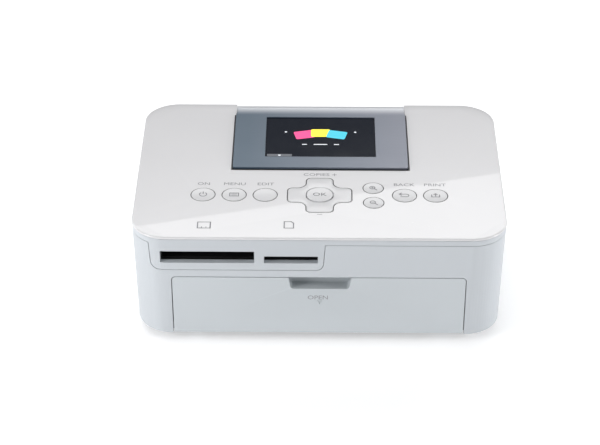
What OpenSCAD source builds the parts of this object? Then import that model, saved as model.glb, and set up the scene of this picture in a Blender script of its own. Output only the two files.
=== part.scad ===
// Compact dye-sublimation photo printer, as an assembly of separate pieces.
// Frame: X to the right, Y to the rear, Z up. The origin is on the table under the middle of the printer.

/* [Body] */
// Width over the top cover
body_w = 178; // [174:0.5:190]
// Depth over the top cover
body_d = 127; // [125:0.5:134]
// Height from the table to the top of the screen panel
body_h = 60.5; // [59.5:0.5:64]
// Radius of the upright corners, seen from above
corner_r = 17; // [15:0.5:19]
// How far each side leans in from the parting line to the bottom
side_lean = 1.5; // [0:0.1:2]
// Wall thickness of the casings
wall = 2; // [1.6:0.1:2.2]
// Height of the rubber feet below the base
foot_h = 1.4; // [1:0.1:2]
// Height of the plinth under the casing
plinth_h = 2.8; // [2.4:0.1:3.2]
// How far the plinth stands in from the casing
plinth_inset = 8; // [7:0.5:10]

/* [Top cover] */
// How far the screen panel stands above the top cover
panel_proud = 1.1; // [0.8:0.1:1.6]
// Thickness of the top cover's outer lip
lip_t = 1; // [0.9:0.1:1.4]
// Thickness of the top cover inside its lip
cover_t = 2.2; // [2:0.1:2.6]
// Depth of the rounded rear edge of the top cover
rear_round = 5.6; // [3:0.2:8]
// Height of the band under the top cover
band_h = 2.7; // [2.4:0.1:3.2]
// Inset of the band from the edge of the top cover
band_inset = 0.2; // [0.1:0.1:0.6]

/* [Card slots] */
// Height of the card slot panel below the band
card_panel_drop = 14.1; // [13.6:0.1:14.6]
// Left end of the card slot panel
card_panel_left = -80.3; // [-81:0.1:-80]
// Right end of the card slot panel
card_panel_right = 2.9; // [2.3:0.1:3.5]
// Width of the wide card slot
cf_slot_w = 44.4; // [44:0.2:45]
// Height of the wide card slot
cf_slot_h = 6.4; // [6:0.1:6.6]
// Middle of the wide card slot
cf_slot_x = -52.7; // [-53.2:0.1:-52.4]
// Width of the narrow card slot
sd_slot_w = 25.4; // [25:0.2:26]
// Height of the narrow card slot
sd_slot_h = 3.8; // [3.5:0.1:4.2]
// Middle of the narrow card slot
sd_slot_x = -13.2; // [-13.6:0.1:-12.8]

/* [Doors] */
// Width of the paper door at its top edge
paper_door_w = 139.3; // [137:0.1:141]
// Middle of the paper door
paper_door_x = 0; // [-0.5:0.1:0.5]
// Height of the paper door's top edge above the table
paper_door_top = 37; // [36:0.1:38]
// How much each side of the paper door leans in at the bottom
paper_door_lean = 0.3; // [0:0.1:1]
// Width of the finger notch in the paper door
notch_w = 30.3; // [28:0.1:34]
// Middle of the finger notch
notch_x = 0.5; // [-0.5:0.1:1]
// Height of the finger notch
notch_h = 6.3; // [5.8:0.1:7]
// Depth of the finger notch behind the door's face
notch_depth = 6; // [5.6:0.2:6.4]
// Front end of the ink door on the right side
ink_door_front = -38; // [-40:0.5:-36]
// Rear end of the ink door on the right side
ink_door_rear = 44; // [42:0.5:45]
// Height of the ink door's top edge above the table
ink_door_top = 48; // [47:0.2:49]
// Gap round each door
door_gap = 0.35; // [0.25:0.05:0.5]

/* [Screen panel] */
// Width of the grey screen panel
panel_w = 86.4; // [85:0.2:88]
// Middle of the screen panel
panel_x = 0.5; // [0:0.1:1]
// Front edge of the dark screen housing
panel_front = -2; // [-2.4:0.1:-0.6]
// Thickness of the grey bezel
bezel_t = 1.8; // [1.6:0.1:2]
// Radius of the rolled rear end of the panel
roll_r = 6.4; // [6.2:0.1:6.8]
// Width of the screen glass
screen_w = 55; // [54:0.2:57]
// Depth of the screen glass
screen_d = 39; // [38:0.2:40]
// Front edge of the screen glass
screen_front = 8.7; // [8.3:0.1:9.5]
// How far the glass lies below the bezel
screen_sink = 0.5; // [0.3:0.1:0.8]
// Radius of the panel's hinge pins
panel_pin_r = 1.5; // [1.3:0.1:1.8]

/* [Keys] */
// Radius of the round keys
key_r = 5.7; // [5.5:0.1:5.9]
// Radius of the two zoom keys
zoom_key_r = 4.8; // [4.6:0.05:5]
// Radius of the confirm key
ok_key_r = 6.3; // [6:0.1:6.4]
// Gap round each key
key_gap = 0.36; // [0.25:0.01:0.42]
// How far the keys stand above the cover
key_proud = 0.2; // [0.2:0.1:0.6]
// Travel of the keys
key_travel = 0.5; // [0.3:0.1:0.5]
// Line of the keys, front to rear
key_row_y = -25.4; // [-26:0.1:-25]
// First key to the side of the middle
key_x1 = 26.1; // [25.8:0.1:26.6]
// Pitch of the keys along their row
key_pitch = 15; // [14.8:0.05:15.2]
// Distance of each zoom key from the row
zoom_key_dy = 6.6; // [6.4:0.1:7]
// Width of the four-way key over its arms
dpad_w = 30.8; // [30:0.2:32]
// Width of each arm of the four-way key
dpad_arm_w = 12.8; // [12:0.1:14]

/* [Mechanism] */
// Radius of the platen roller
platen_r = 6; // [5.8:0.1:6]
// Radius of the capstan roller
capstan_r = 4; // [3.8:0.1:4.2]
// Radius of the pinch roller
pinch_r = 3.2; // [3:0.1:3.4]
// Radius of the pickup roller
pickup_r = 7; // [6.6:0.1:7.2]
// Length of the paper rollers
roller_len = 104; // [102:0.5:106]
// Height of the paper path above the table
paper_z = 20; // [19.9:0.1:20.4]
// Radius of the roller journals
journal_r = 2; // [1.8:0.1:2.2]
// Radial running clearance of the journals
run_gap = 0.06; // [0.04:0.01:0.09]
// Gear module, pitch diameter per tooth
gear_m = 0.6; // [0.6:0.01:0.61]
// Thickness of the gears
gear_t = 2.8; // [2.4:0.1:3]
// Radius outside each ink cassette tube
tube_r = 11.5; // [11:0.1:11.6]
// Thickness of the chassis plates
plate_t = 1.2; // [1:0.1:1.4]
// Distance of each chassis plate's inner face from the middle
plate_x = 60.8; // [60.6:0.1:61.4]
// Radius of the hinge pins of the two doors
door_pin_r = 1; // [0.8:0.1:1.1]
// Radius of the case screws' shanks
screw_r = 1.3; // [1.2:0.05:1.5]

/* [Hidden] */
$fn = 64;
form_fn = 72;
eps = 0.01;
big = 300;

// Heights, from the table up
base_z = foot_h;
case_z = foot_h + plinth_h;
top_z = body_h - panel_proud;
lip_z = top_z - lip_t;
cover_z = top_z - cover_t;
groove = 0.3;
band_z1 = lip_z - groove;
band_z0 = band_z1 - band_h;
case_z1 = band_z0 - 0.2;
flange_t = 1.6;
flange_z = case_z + flange_t;
bottom_round = 1.2;

// Outlines, seen from above
case_w = body_w - 2 * band_inset;
case_d = body_d - 2 * band_inset;
case_r = corner_r - band_inset;
front_y = -case_d / 2;
rear_y = case_d / 2;
inner_front = front_y + wall;
fit = 0.3;

module rrect(w, d, r) {
    square([w - 2 * r, d], center = true);
    square([w, d - 2 * r], center = true);
    for (x = [-1, 1], y = [-1, 1]) translate([x * (w / 2 - r), y * (d / 2 - r)]) circle(r, $fn = form_fn);
}

// One thin slice of the casing at height z, drawn in by inset all round
module case_slice(z, inset) {
    lean = side_lean * (band_z1 - z) / (band_z1 - case_z);
    translate([0, 0, z]) linear_extrude(eps)
        rrect(case_w - 2 * inset - 2 * lean, case_d - 2 * inset, case_r - inset);
}

// The casing's outer form, with its bottom edge rounded
module case_form(inset = 0, z0 = case_z, z1 = band_z1) {
    turn = [for (a = [0, 30, 60, 90]) [bottom_round * (1 - sin(a)), bottom_round * (1 - cos(a))]];
    hull() {
        for (t = turn) case_slice(z0 + t[1], inset + t[0]);
        case_slice(z1 - eps, inset);
    }
}

// The space inside the casing, with straight walls
module case_room(inset, z0 = 0, z1 = big / 2) {
    hull() {
        case_slice(z0, inset);
        case_slice(z1, inset);
    }
}

module bar_x(x0, x1, y, z, r) translate([x0, y, z]) rotate([0, 90, 0]) cylinder(h = x1 - x0, r = r);
module bar_y(y0, y1, x, z, r) translate([x, y0, z]) rotate([-90, 0, 0]) cylinder(h = y1 - y0, r = r);
module block(x, y, z) translate([x[0], y[0], z[0]]) cube([x[1] - x[0], y[1] - y[0], z[1] - z[0]]);
// An outline in X and Z, pushed from y0 to y1
module push_y(y0, y1) translate([0, y1, 0]) rotate([90, 0, 0]) linear_extrude(y1 - y0) children();
// An outline in Y and Z, pushed from x0 to x1
module push_x(x0, x1) translate([x0, 0, 0]) rotate([90, 0, 90]) linear_extrude(x1 - x0) children();

// ---- Keys: places shared by the cover, the switches and the keys ----
key_x2 = key_x1 + key_pitch;
key_x3 = key_x2 + key_pitch;
key_hole_r = key_r + key_gap;
zoom_hole_r = zoom_key_r + key_gap;
power_at = [-key_x3, key_row_y];
menu_at = [-key_x2, key_row_y];
edit_at = [-key_x1, key_row_y];
dpad_at = [0.2, key_row_y];
zoom_in_at = [key_x1, key_row_y + zoom_key_dy];
zoom_out_at = [key_x1, key_row_y - zoom_key_dy];
back_at = [key_x2, key_row_y];
print_at = [key_x3, key_row_y];
round_keys = [power_at, menu_at, edit_at, back_at, print_at];
zoom_keys = [zoom_in_at, zoom_out_at];
key_z0 = cover_z - fit - 1;
key_flange_t = 0.7;
key_flange = 0.8;
membrane_z1 = key_z0 - key_travel - 0.2;
membrane_t = 0.4;
switch_h = 1.1;
board_t = 1.2;
control_z1 = membrane_z1 - membrane_t - switch_h;
control_z0 = control_z1 - board_t;
control_half = 69;
control_y0 = key_row_y - 18;
control_y1 = panel_front - 5;
post_x = 66;
post_y = [key_row_y - 14, key_row_y + 15];

module dpad_outline(grow) {
    arm = dpad_arm_w;
    offset(r = grow + 2.4) offset(delta = -2.4)
        offset(r = -4.6) offset(delta = 4.6) {
            square([dpad_w, arm], center = true);
            square([arm, dpad_w], center = true);
            circle(arm * 0.78);
        }
}

// ---- Screen panel: a flat front and a rolled rear end about the hinge ----
roll_y = body_d / 2 - roll_r;
roll_z = body_h - roll_r;
window_gap = 0.4;
housing_rim = 0.3;
housing_w = panel_w + 2 * housing_rim;
window_w = housing_w + 2 * window_gap;
roll_w = panel_w - 0.8;
ear_gap = 0.3;
ear_w = roll_w + 2 * ear_gap;
ear_y = roll_y - 5.6;
panel_corner_r = 1.4;
wide_y = ear_y - window_gap;
tray_z1 = roll_z - 0.8;
tray_t = 1.5;
tray_half = window_w / 2 + 0.6;
tray_wall = 1.5;
trough_z = roll_z - roll_r - 0.5;
trough_y = roll_y - roll_r - 0.6;
pin_ear_w = 5.5;
end_block_w = pin_ear_w + 1.55;
bezel_z = body_h - bezel_t;
bezel_front = panel_front + housing_rim + 0.1;
housing_z0 = tray_z1 + 1;

// The opening for the panel, seen from above, open to the rear
module panel_window() {
    translate([panel_x, 0]) {
        translate([-window_w / 2, panel_front - window_gap]) square([window_w, ear_y - panel_front + window_gap]);
        translate([-ear_w / 2, ear_y - eps]) square([ear_w, body_d]);
    }
}

// ---- Casing ----
module top_cover() color("white") difference() {
    union() {
        top_cover_lip();
        translate([0, 0, cover_z]) linear_extrude(cover_t - 0.4)
            rrect(case_w - 2 * wall - 2 * fit, case_d - 2 * wall - 2 * fit, case_r - wall - fit);
        for (x = [-1, 1], y = post_y) translate([x * post_x, y, control_z1]) cylinder(h = cover_z - control_z1 + eps, r = 2);
    }
    for (p = round_keys) translate([p[0], p[1], 0]) cylinder(h = big, r = key_hole_r);
    for (p = zoom_keys) translate([p[0], p[1], 0]) cylinder(h = big, r = zoom_hole_r);
    translate([dpad_at[0], dpad_at[1], cover_z - 1]) linear_extrude(cover_t + 2) dpad_outline(key_gap);
    translate([0, 0, cover_z - 1]) linear_extrude(cover_t + 2) panel_window();
}

// The lip: a thin plate with a small round all round and a deep round at the rear
module top_cover_lip() {
    edge = 0.7;
    rise = 0.8;
    hull() for (a = [0, 22.5, 45, 67.5, 90]) {
        side = edge * (1 - cos(a));
        rear = rear_round * (1 - cos(a));
        z = top_z - rise + rise * sin(a) - eps;
        translate([0, (side - rear) / 2, z]) linear_extrude(eps)
            rrect(body_w - 2 * side, body_d - side - rear, corner_r - side);
    }
    translate([0, 0, lip_z]) linear_extrude(lip_t - rise + eps) rrect(body_w, body_d, corner_r);
}

card_panel_z = band_z0 - card_panel_drop;
card_slot_z0 = card_panel_z + 3.9;
// The card slot panel, seen from the front, grown by grow
module card_panel_outline(grow) {
    r = 3.8;
    lean = 0.8;
    z0 = card_panel_z - grow;
    z1 = band_z0 + (grow > 0 ? 1 : 0.6);
    x0 = card_panel_left - grow;
    x1 = card_panel_right + grow;
    polygon([[x0, z1], [x0 + lean, z0 + r], [x0 + lean + r, z0], [x1 - lean - r, z0], [x1 - lean, z0 + r], [x1, z1]]);
    for (x = [x0 + lean + r, x1 - lean - r]) translate([x, z0 + r]) circle(r, $fn = 48);
}

module card_slots(y0, y1) {
    block([cf_slot_x - cf_slot_w / 2, cf_slot_x + cf_slot_w / 2], [y0, y1], [card_slot_z0, card_slot_z0 + cf_slot_h]);
    block([sd_slot_x - sd_slot_w / 2, sd_slot_x + sd_slot_w / 2], [y0, y1], [card_slot_z0, card_slot_z0 + sd_slot_h]);
}

slot_block_d = 2.4;
module upper_case() color("gainsboro") difference() {
    union() {
        intersection() {
            difference() {
                case_form(0);
                case_room(wall);
            }
            union() {
                translate([0, 0, band_z0]) linear_extrude(band_z1 - band_z0) square(big, center = true);
                push_y(-big / 2, front_y + 18) card_panel_outline(0);
            }
        }
        // Thick back of the card slots
        intersection() {
            case_room(wall / 2, 30, 60);
            block([card_panel_left + 4, card_panel_right - 2.4], [front_y + wall - 0.5, inner_front + slot_block_d],
                [card_panel_z + 3.2, cover_z - 0.05]);
        }
        // Tray under the screen panel, with a trough for its rolled end
        block([panel_x - tray_half - tray_wall, panel_x + tray_half + tray_wall],
            [panel_front - window_gap - 0.3 - tray_wall, trough_y + tray_wall], [tray_z1 - tray_t, cover_z - 0.05]);
        block([panel_x - tray_half - tray_wall, panel_x + tray_half + tray_wall],
            [trough_y - tray_wall, rear_y], [trough_z - tray_t, roll_z + 1]);
        for (s = [-1, 1]) block(s > 0 ? [panel_x + ear_w / 2, panel_x + ear_w / 2 + end_block_w] :
            [panel_x - ear_w / 2 - end_block_w, panel_x - ear_w / 2], [trough_y, rear_y - 1], [trough_z - tray_t, cover_z - 0.05]);
    }
    card_slots(-big / 2, inner_front + slot_block_d + 1);
    block([panel_x - tray_half, panel_x + tray_half],
        [panel_front - window_gap - 0.3, trough_y + tray_wall + 1], [tray_z1, big]);
    block([panel_x - ear_w / 2, panel_x + ear_w / 2], [trough_y, big], [trough_z, big]);
    bar_x(-60, 60, roll_y, roll_z, panel_pin_r + 0.02);
}

// ---- Doors: hinge places shared by the doors, their pins and their ears ----
door_t = 2.2;
hinge_in = 4.3;
hinge_z = case_z + 2.6;
lug_r = 2.2;
lug_w = 4;
ear_r = 1.8;
door_ear_w = 3;
ear_play = 0.3;
paper_hinge_y = front_y + hinge_in;
paper_lug_x = paper_door_w / 2 - 11;
ink_hinge_x = case_w / 2 - side_lean - hinge_in;
ink_lug_y = [ink_door_front + 7, ink_door_rear - 7];
door_sill = 1;
arrow_drop = 6.4;
paper_door_z0 = case_z + door_sill;

// The paper door seen from the front, grown by grow, with its upper corners rounded
module paper_door_outline(grow, foot = 0) {
    r = 1.8 + grow;
    top = paper_door_top + grow;
    x1 = paper_door_w / 2 + grow;
    x0 = x1 - paper_door_lean;
    translate([paper_door_x, 0]) {
        polygon([[-x0, paper_door_z0 - foot], [x0, paper_door_z0 - foot], [x1, top - r], [x1 - r, top], [-x1 + r, top], [-x1, top - r]]);
        for (s = [-1, 1]) translate([s * (x1 - r), top - r]) circle(r, $fn = 48);
    }
}

module notch_outline() {
    top = paper_door_top + 1;
    z0 = paper_door_top - notch_h;
    half = notch_w / 2;
    slant = 1;
    r = 1.6;
    translate([notch_x, 0]) {
        for (s = [-1, 1]) translate([s * (half - r - slant), z0 + r]) circle(r, $fn = 48);
        polygon([[-half, top], [-half + slant, z0 + r], [-half + slant + r, z0],
            [half - slant - r, z0], [half - slant, z0 + r], [half, top]]);
    }
}

// A hinge lug on the line of X, from a door face at y = face to the pin
module lug(x, pin_y, pin_z, face) {
    bar_x(x - lug_w / 2, x + lug_w / 2, pin_y, pin_z, lug_r);
    block([x - lug_w / 2, x + lug_w / 2], [face, pin_y], [pin_z - 1, pin_z + lug_r]);
}

module paper_door() color("lightgray") difference() {
    union() {
        intersection() {
            case_form(0);
            push_y(front_y - 1, front_y + door_t) paper_door_outline(0);
        }
        for (s = [-1, 1]) lug(paper_door_x + s * paper_lug_x, paper_hinge_y, hinge_z, front_y + door_t - 0.4);
        // Pocket behind the finger notch
        block([notch_x - notch_w / 2 - 1.2, notch_x + notch_w / 2 + 1.2], [front_y + door_t - 0.4, front_y + notch_depth + 1.2],
            [paper_door_top - notch_h - 1.2, paper_door_top - 0.6]);
        // Stiffening ribs and catches on the inside
        for (x = [-44, -22, 22, 44]) block([x - 0.6, x + 0.6], [front_y + door_t - 0.4, front_y + door_t + 1.4],
            [paper_door_z0 + 8, paper_door_top - 4]);
        for (x = [-58, 56]) block([x - 3, x + 3], [front_y + door_t - 0.4, front_y + door_t + 2.4],
            [paper_door_top - 4, paper_door_top - 2.6]);
    }
    push_y(front_y - 1, front_y + notch_depth) notch_outline();
    bar_x(-big / 2, big / 2, paper_hinge_y, hinge_z, door_pin_r + run_gap);
    // Sunk arrow under the notch
    push_y(front_y - 1, front_y + 0.25) translate([notch_x, paper_door_top - notch_h])
        polygon([[-1.3, -arrow_drop], [0, -arrow_drop - 2.4], [1.3, -arrow_drop]]);
}

module paper_door_pins() color("silver") for (s = [-1, 1]) {
    outer = paper_lug_x + lug_w / 2 + ear_play + door_ear_w;
    inner = paper_lug_x - lug_w / 2 - ear_play;
    bar_x(paper_door_x + (s > 0 ? inner : -outer), paper_door_x + (s > 0 ? outer : -inner), paper_hinge_y, hinge_z, door_pin_r);
}

module ink_door_prism(grow, foot, x0) push_x(x0, big / 2) {
    r = 4 + grow;
    top = ink_door_top + grow;
    y0 = ink_door_front - grow;
    y1 = ink_door_rear + grow;
    polygon([[y0, paper_door_z0 - foot], [y1, paper_door_z0 - foot], [y1, top - r], [y1 - r, top], [y0 + r, top], [y0, top - r]]);
    for (y = [y0 + r, y1 - r]) translate([y, top - r]) circle(r, $fn = 48);
}

module ink_door() color("lightgray") difference() {
    union() {
        intersection() {
            difference() {
                case_form(0);
                case_room(door_t);
            }
            ink_door_prism(0, 0, 60);
        }
        for (y = ink_lug_y) rotate([0, 0, 90]) lug(y, -ink_hinge_x, hinge_z, -(case_w / 2 - side_lean - door_t + 0.4));
        // Finger ridge near the top and stiffening ribs inside
        block([ink_hinge_x - 0.4, case_w / 2 - side_lean - door_t + 1.6], [-6, 12], [ink_door_top - 7, ink_door_top - 5.8]);
    }
    bar_y(-big / 2, big / 2, ink_hinge_x, hinge_z, door_pin_r + run_gap);
}

module ink_door_pins() color("silver") for (y = ink_lug_y) {
    reach = lug_w / 2 + ear_play + door_ear_w;
    short = lug_w / 2 + ear_play;
    bar_y(y < 0 ? y - short : y - reach, y < 0 ? y + reach : y + short, ink_hinge_x, hinge_z, door_pin_r);
}

// ---- Lower case and base ----
boss_at = [for (x = [-1, 1], y = [-1, 1]) [x * (body_w / 2 - 12.5), y * (body_d / 2 - 12.5)]];
boss_r = 3.4;
boss_h = 14;
screw_head_r = 2.6;
rear_slot_half = roller_len / 2 + 1;
vent_w = 1.6;
vent_pitch = 4;
jack_x = body_w / 2 - 21.5;
jack_z = flange_z + 5.4;
jack_hole_r = 3.6;
usb_y = [-44, -31];
usb_h = 5.8;
main_z0 = card_slot_z0 - 1.1 - board_t;
main_z1 = main_z0 + board_t;

module lower_case() color("whitesmoke") difference() {
    union() {
        difference() {
            case_form(0, case_z, case_z1);
            case_room(wall);
        }
        intersection() {
            case_room(wall / 2, case_z, case_z1);
            for (p = boss_at) union() {
                translate([p[0], p[1], flange_z + 0.05]) cylinder(h = boss_h, r = boss_r);
                translate([p[0], p[1], flange_z + 0.05]) rotate([0, 0, atan2(p[1], p[0]) + (p[0] * p[1] > 0 ? 8 : -8)])
                    translate([0, -0.8, 0]) cube([14, 1.6, boss_h]);
            }
        }
    }
    // Front: paper door and card panel
    push_y(-big / 2, front_y + wall + 1) paper_door_outline(door_gap, 20);
    push_y(-big / 2, front_y + 18) card_panel_outline(0.22);
    // Right side: ink door
    ink_door_prism(door_gap, 20, 60);
    // Rear: paper slot, power inlet, vents, room for the panel's trough
    block([-rear_slot_half, rear_slot_half], [rear_y - wall - 1, big], [paper_z - 3, paper_z + 4]);
    bar_y(rear_y - wall - 2, big / 2, jack_x, jack_z, jack_hole_r);
    for (i = [0 : 11]) block([-66 + i * vent_pitch - vent_w / 2, -66 + i * vent_pitch + vent_w / 2],
        [rear_y - wall - 1, big], [paper_z + 9, paper_z + 20]);
    block([panel_x - tray_half - tray_wall - 0.2, panel_x + tray_half + tray_wall + 0.2],
        [rear_y - wall - 1, big], [trough_z - tray_t - 0.2, big]);
    for (s = [-1, 1]) block(s > 0 ? [panel_x + tray_half, panel_x + ear_w / 2 + end_block_w + 0.2] :
        [panel_x - ear_w / 2 - end_block_w - 0.2, panel_x - tray_half], [rear_y - wall - 1, rear_y - 0.9], [trough_z - tray_t - 0.2, big]);
    // Left side: fan vents and data socket
    for (i = [0 : 6]) block([-big, -60], [fan_y - 11 + i * vent_pitch - 1.1, fan_y - 11 + i * vent_pitch + 1.1], [fan_z - 11, fan_z + 11]);
    block([-big, -60], [usb_y[0] + 0.4, usb_y[1] - 0.4], [main_z0 - usb_h + 0.2, main_z0 - 0.2]);
    for (p = boss_at) translate([p[0], p[1], 0]) cylinder(h = flange_z + boss_h - 2, r = screw_r + 0.05);
}

flange_inset = wall + fit;
module base_plate() color("dimgray") difference() {
    union() {
        translate([0, 0, base_z]) linear_extrude(plinth_h + eps)
            rrect(case_w - 2 * side_lean - 2 * plinth_inset, case_d - 2 * plinth_inset, case_r - plinth_inset);
        difference() {
            translate([0, 0, case_z]) linear_extrude(flange_t)
                rrect(case_w - 2 * side_lean - 2 * flange_inset, case_d - 2 * flange_inset, case_r - flange_inset);
            block([paper_door_x - paper_door_w / 2 - 1, paper_door_x + paper_door_w / 2 + 1], [-big, front_y + plinth_inset], [0, big]);
            block([case_w / 2 - side_lean - plinth_inset, big], [ink_door_front - 1, ink_door_rear + 1], [0, big]);
        }
        for (s = [-1, 1]) {
            x = paper_door_x + s * (paper_lug_x + lug_w / 2 + ear_play + door_ear_w / 2);
            door_ear(x, paper_hinge_y, front_y + plinth_inset);
        }
        for (i = [0, 1]) rotate([0, 0, 90]) {
            shift = (i == 0 ? 1 : -1) * (lug_w / 2 + ear_play + door_ear_w / 2);
            door_ear(ink_lug_y[i] + shift, -ink_hinge_x, -(case_w / 2 - side_lean - plinth_inset));
        }
    }
    for (p = boss_at) translate([p[0], p[1], -1]) cylinder(h = big, r = screw_r + 0.25);
    for (p = boss_at) translate([p[0], p[1], -1]) cylinder(h = base_z + 2.6, r = screw_head_r + 0.3);
    bar_x(-80, 80, paper_hinge_y, hinge_z, door_pin_r + 0.02);
    bar_y(ink_lug_y[0] - 1, ink_lug_y[1] + 1, ink_hinge_x, hinge_z, door_pin_r + 0.02);
    for (p = foot_at) translate([p[0], p[1], base_z - 1]) cylinder(h = 1 + foot_seat, r = foot_r + 0.1);
}

// An ear that holds a door pin, standing on the base plate behind y = back
module door_ear(x, pin_y, back) {
    w = door_ear_w / 2;
    bar_x(x - w, x + w, pin_y, hinge_z, ear_r);
    block([x - w, x + w], [pin_y, back + 3], [hinge_z - 1.6, hinge_z + ear_r]);
    block([x - w, x + w], [back + 0.1, back + 3], [case_z - 0.5, hinge_z + ear_r]);
}

foot_r = 4.5;
foot_seat = 0.8;
foot_at = [for (x = [-1, 1], y = [-1, 1]) [x * (body_w / 2 - 26), y * (body_d / 2 - 22)]];
module rubber_feet() color("darkslategray") for (p = foot_at)
    translate([p[0], p[1], 0]) cylinder(h = base_z + foot_seat - 0.02, r = foot_r);

module case_screws() color("silver") for (p = boss_at) translate([p[0], p[1], 0]) {
    translate([0, 0, base_z + 0.1]) cylinder(h = 1.5, r = screw_head_r);
    translate([0, 0, base_z + 1.5]) cylinder(h = boss_h, r = screw_r);
}

// ---- Screen panel ----
// Rolled rear end about the hinge, hollow
module roll_section() translate([roll_y, roll_z]) difference() {
    circle(roll_r, $fn = 96);
    circle(roll_r - bezel_t, $fn = 96);
    polygon([[0, 0], [-big, 0], [-big, -big], [0.34 * big, -big]]);
    polygon([[0, 0], [-big, -eps], [-big, big], [0, big]]);
}

// Front corners of the panel, rounded as seen from above
module panel_plan(w, y0, y1) hull() {
    for (s = [-1, 1]) translate([panel_x + s * (w / 2 - panel_corner_r), y0 + panel_corner_r]) circle(panel_corner_r, $fn = 48);
    translate([panel_x - w / 2, y1 - 1]) square([w, 1]);
}

module lcd_bezel() color("slategray") difference() {
    union() {
        intersection() {
            push_x(panel_x - panel_w / 2, panel_x + panel_w / 2)
                polygon([[bezel_front, bezel_z], [wide_y - 2, bezel_z], [wide_y, body_h - panel_proud + 0.4],
                    [wide_y, body_h], [bezel_front, body_h]]);
            linear_extrude(big) panel_plan(panel_w, bezel_front, wide_y + 1);
        }
        push_x(panel_x - roll_w / 2, panel_x + roll_w / 2)
            polygon([[roll_y + eps, bezel_z], [wide_y - 2.1, bezel_z], [wide_y - 2.1, body_h], [roll_y + eps, body_h]]);
        push_x(panel_x - roll_w / 2, panel_x + roll_w / 2) roll_section();
        for (s = [-1, 1]) translate([0, roll_y, roll_z])
            push_x(panel_x + s * (roll_w / 2 - 1.5) - 1.5, panel_x + s * (roll_w / 2 - 1.5) + 1.5) {
                circle(roll_r - bezel_t + 0.2, $fn = 96);
                translate([-roll_r + 0.4, 0]) square([roll_r, roll_r - bezel_t + 0.2]);
            }
    }
    block([panel_x - screen_w / 2, panel_x + screen_w / 2], [screen_front, screen_front + screen_d], [0, big]);
    bar_x(-big / 2, big / 2, roll_y, roll_z, panel_pin_r + run_gap);
}

module lcd_back_shell() color("dimgray") difference() {
    union() {
        translate([0, 0, housing_z0]) linear_extrude(bezel_z + 0.9 - housing_z0)
            panel_plan(housing_w, panel_front, roll_y - roll_r - 1.8);
        block([panel_x - roll_w / 2, panel_x + roll_w / 2],
            [roll_y - roll_r - 2, roll_y - roll_r + 0.4], [housing_z0, bezel_z]);
    }
    translate([0, 0, bezel_z - 0.02]) linear_extrude(big)
        offset(delta = 0.02) panel_plan(panel_w, bezel_front, body_d);
    block([panel_x - screen_w / 2 - 1, panel_x + screen_w / 2 + 1], [screen_front - 1, screen_front + screen_d + 0.4],
        [bezel_z - 2.2, big]);
    // Hollow room behind the display
    block([panel_x - housing_w / 2 + 1.5, panel_x + housing_w / 2 - 1.5],
        [panel_front + 1.5, screen_front - 3], [housing_z0 + 1.2, bezel_z - 1.2]);
}

module lcd_screen() color("black") union() {
    block([panel_x - screen_w / 2 + 0.03, panel_x + screen_w / 2 - 0.03],
        [screen_front + 0.03, screen_front + screen_d - 0.03], [bezel_z - 1, body_h - screen_sink]);
    block([panel_x - screen_w / 2 - 0.7, panel_x + screen_w / 2 + 0.7],
        [screen_front - 0.7, screen_front + screen_d + 0.2], [bezel_z - 2.1, bezel_z - 0.1]);
}

module lcd_hinge_pins() color("silver") for (s = [-1, 1]) {
    a = panel_x + s * (roll_w / 2 - 2.9);
    b = panel_x + s * (ear_w / 2 + pin_ear_w);
    bar_x(min(a, b), max(a, b), roll_y, roll_z, panel_pin_r);
}

// ---- Keys ----
module key_cap(at, r) color("whitesmoke") translate([at[0], at[1], 0]) {
    top = top_z + key_proud;
    translate([0, 0, key_z0 + key_flange_t - eps]) cylinder(h = top - 0.3 - key_z0 - key_flange_t + eps, r = r);
    translate([0, 0, top - 0.3]) cylinder(h = 0.3, r1 = r, r2 = r - 0.3);
    translate([0, 0, key_z0]) cylinder(h = key_flange_t, r = r + key_flange);
}
module power_button() key_cap(power_at, key_r);
module menu_button() key_cap(menu_at, key_r);
module edit_button() key_cap(edit_at, key_r);
module zoom_in_button() key_cap(zoom_in_at, zoom_key_r);
module zoom_out_button() key_cap(zoom_out_at, zoom_key_r);
module back_button() key_cap(back_at, key_r);
module print_button() key_cap(print_at, key_r);

dpad_z0 = key_z0;
dpad_play = 0.4;
ok_room = 1.9;
module dpad() color("whitesmoke") translate([dpad_at[0], dpad_at[1], 0]) difference() {
    union() {
        translate([0, 0, dpad_z0]) linear_extrude(top_z + key_proud - dpad_z0) dpad_outline(-0.02);
        translate([0, 0, dpad_z0]) linear_extrude(0.6) dpad_outline(0.7);
    }
    cylinder(h = big, r = ok_key_r + dpad_play);
    translate([0, 0, dpad_z0 - 1]) cylinder(h = 2.4, r = ok_key_r + ok_room);
}

carrier_z1 = dpad_z0 - 0.45;
carrier_r0 = ok_key_r + ok_room;
module dpad_carrier() color("gray") translate([dpad_at[0], dpad_at[1], 0]) difference() {
    union() {
        translate([0, 0, carrier_z1 - 0.6]) cylinder(h = 0.6, r = carrier_r0 + 2.8);
        for (s = [-1, 1]) translate([s * (carrier_r0 + 1.4), 0, control_z1 + 0.1]) cylinder(h = carrier_z1 - 0.3 - control_z1 - 0.1, r = 0.9);
    }
    cylinder(h = big, r = carrier_r0);
}

module ok_button() color("whitesmoke") translate([dpad_at[0], dpad_at[1], 0]) {
    top = top_z + key_proud + 0.3;
    translate([0, 0, key_z0]) cylinder(h = top - 0.35 - key_z0, r = ok_key_r);
    translate([0, 0, top - 0.35 - eps]) cylinder(h = 0.35 + eps, r1 = ok_key_r, r2 = ok_key_r - 0.35);
    translate([0, 0, key_z0]) cylinder(h = 0.6, r = ok_key_r + 1.1);
}

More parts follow.
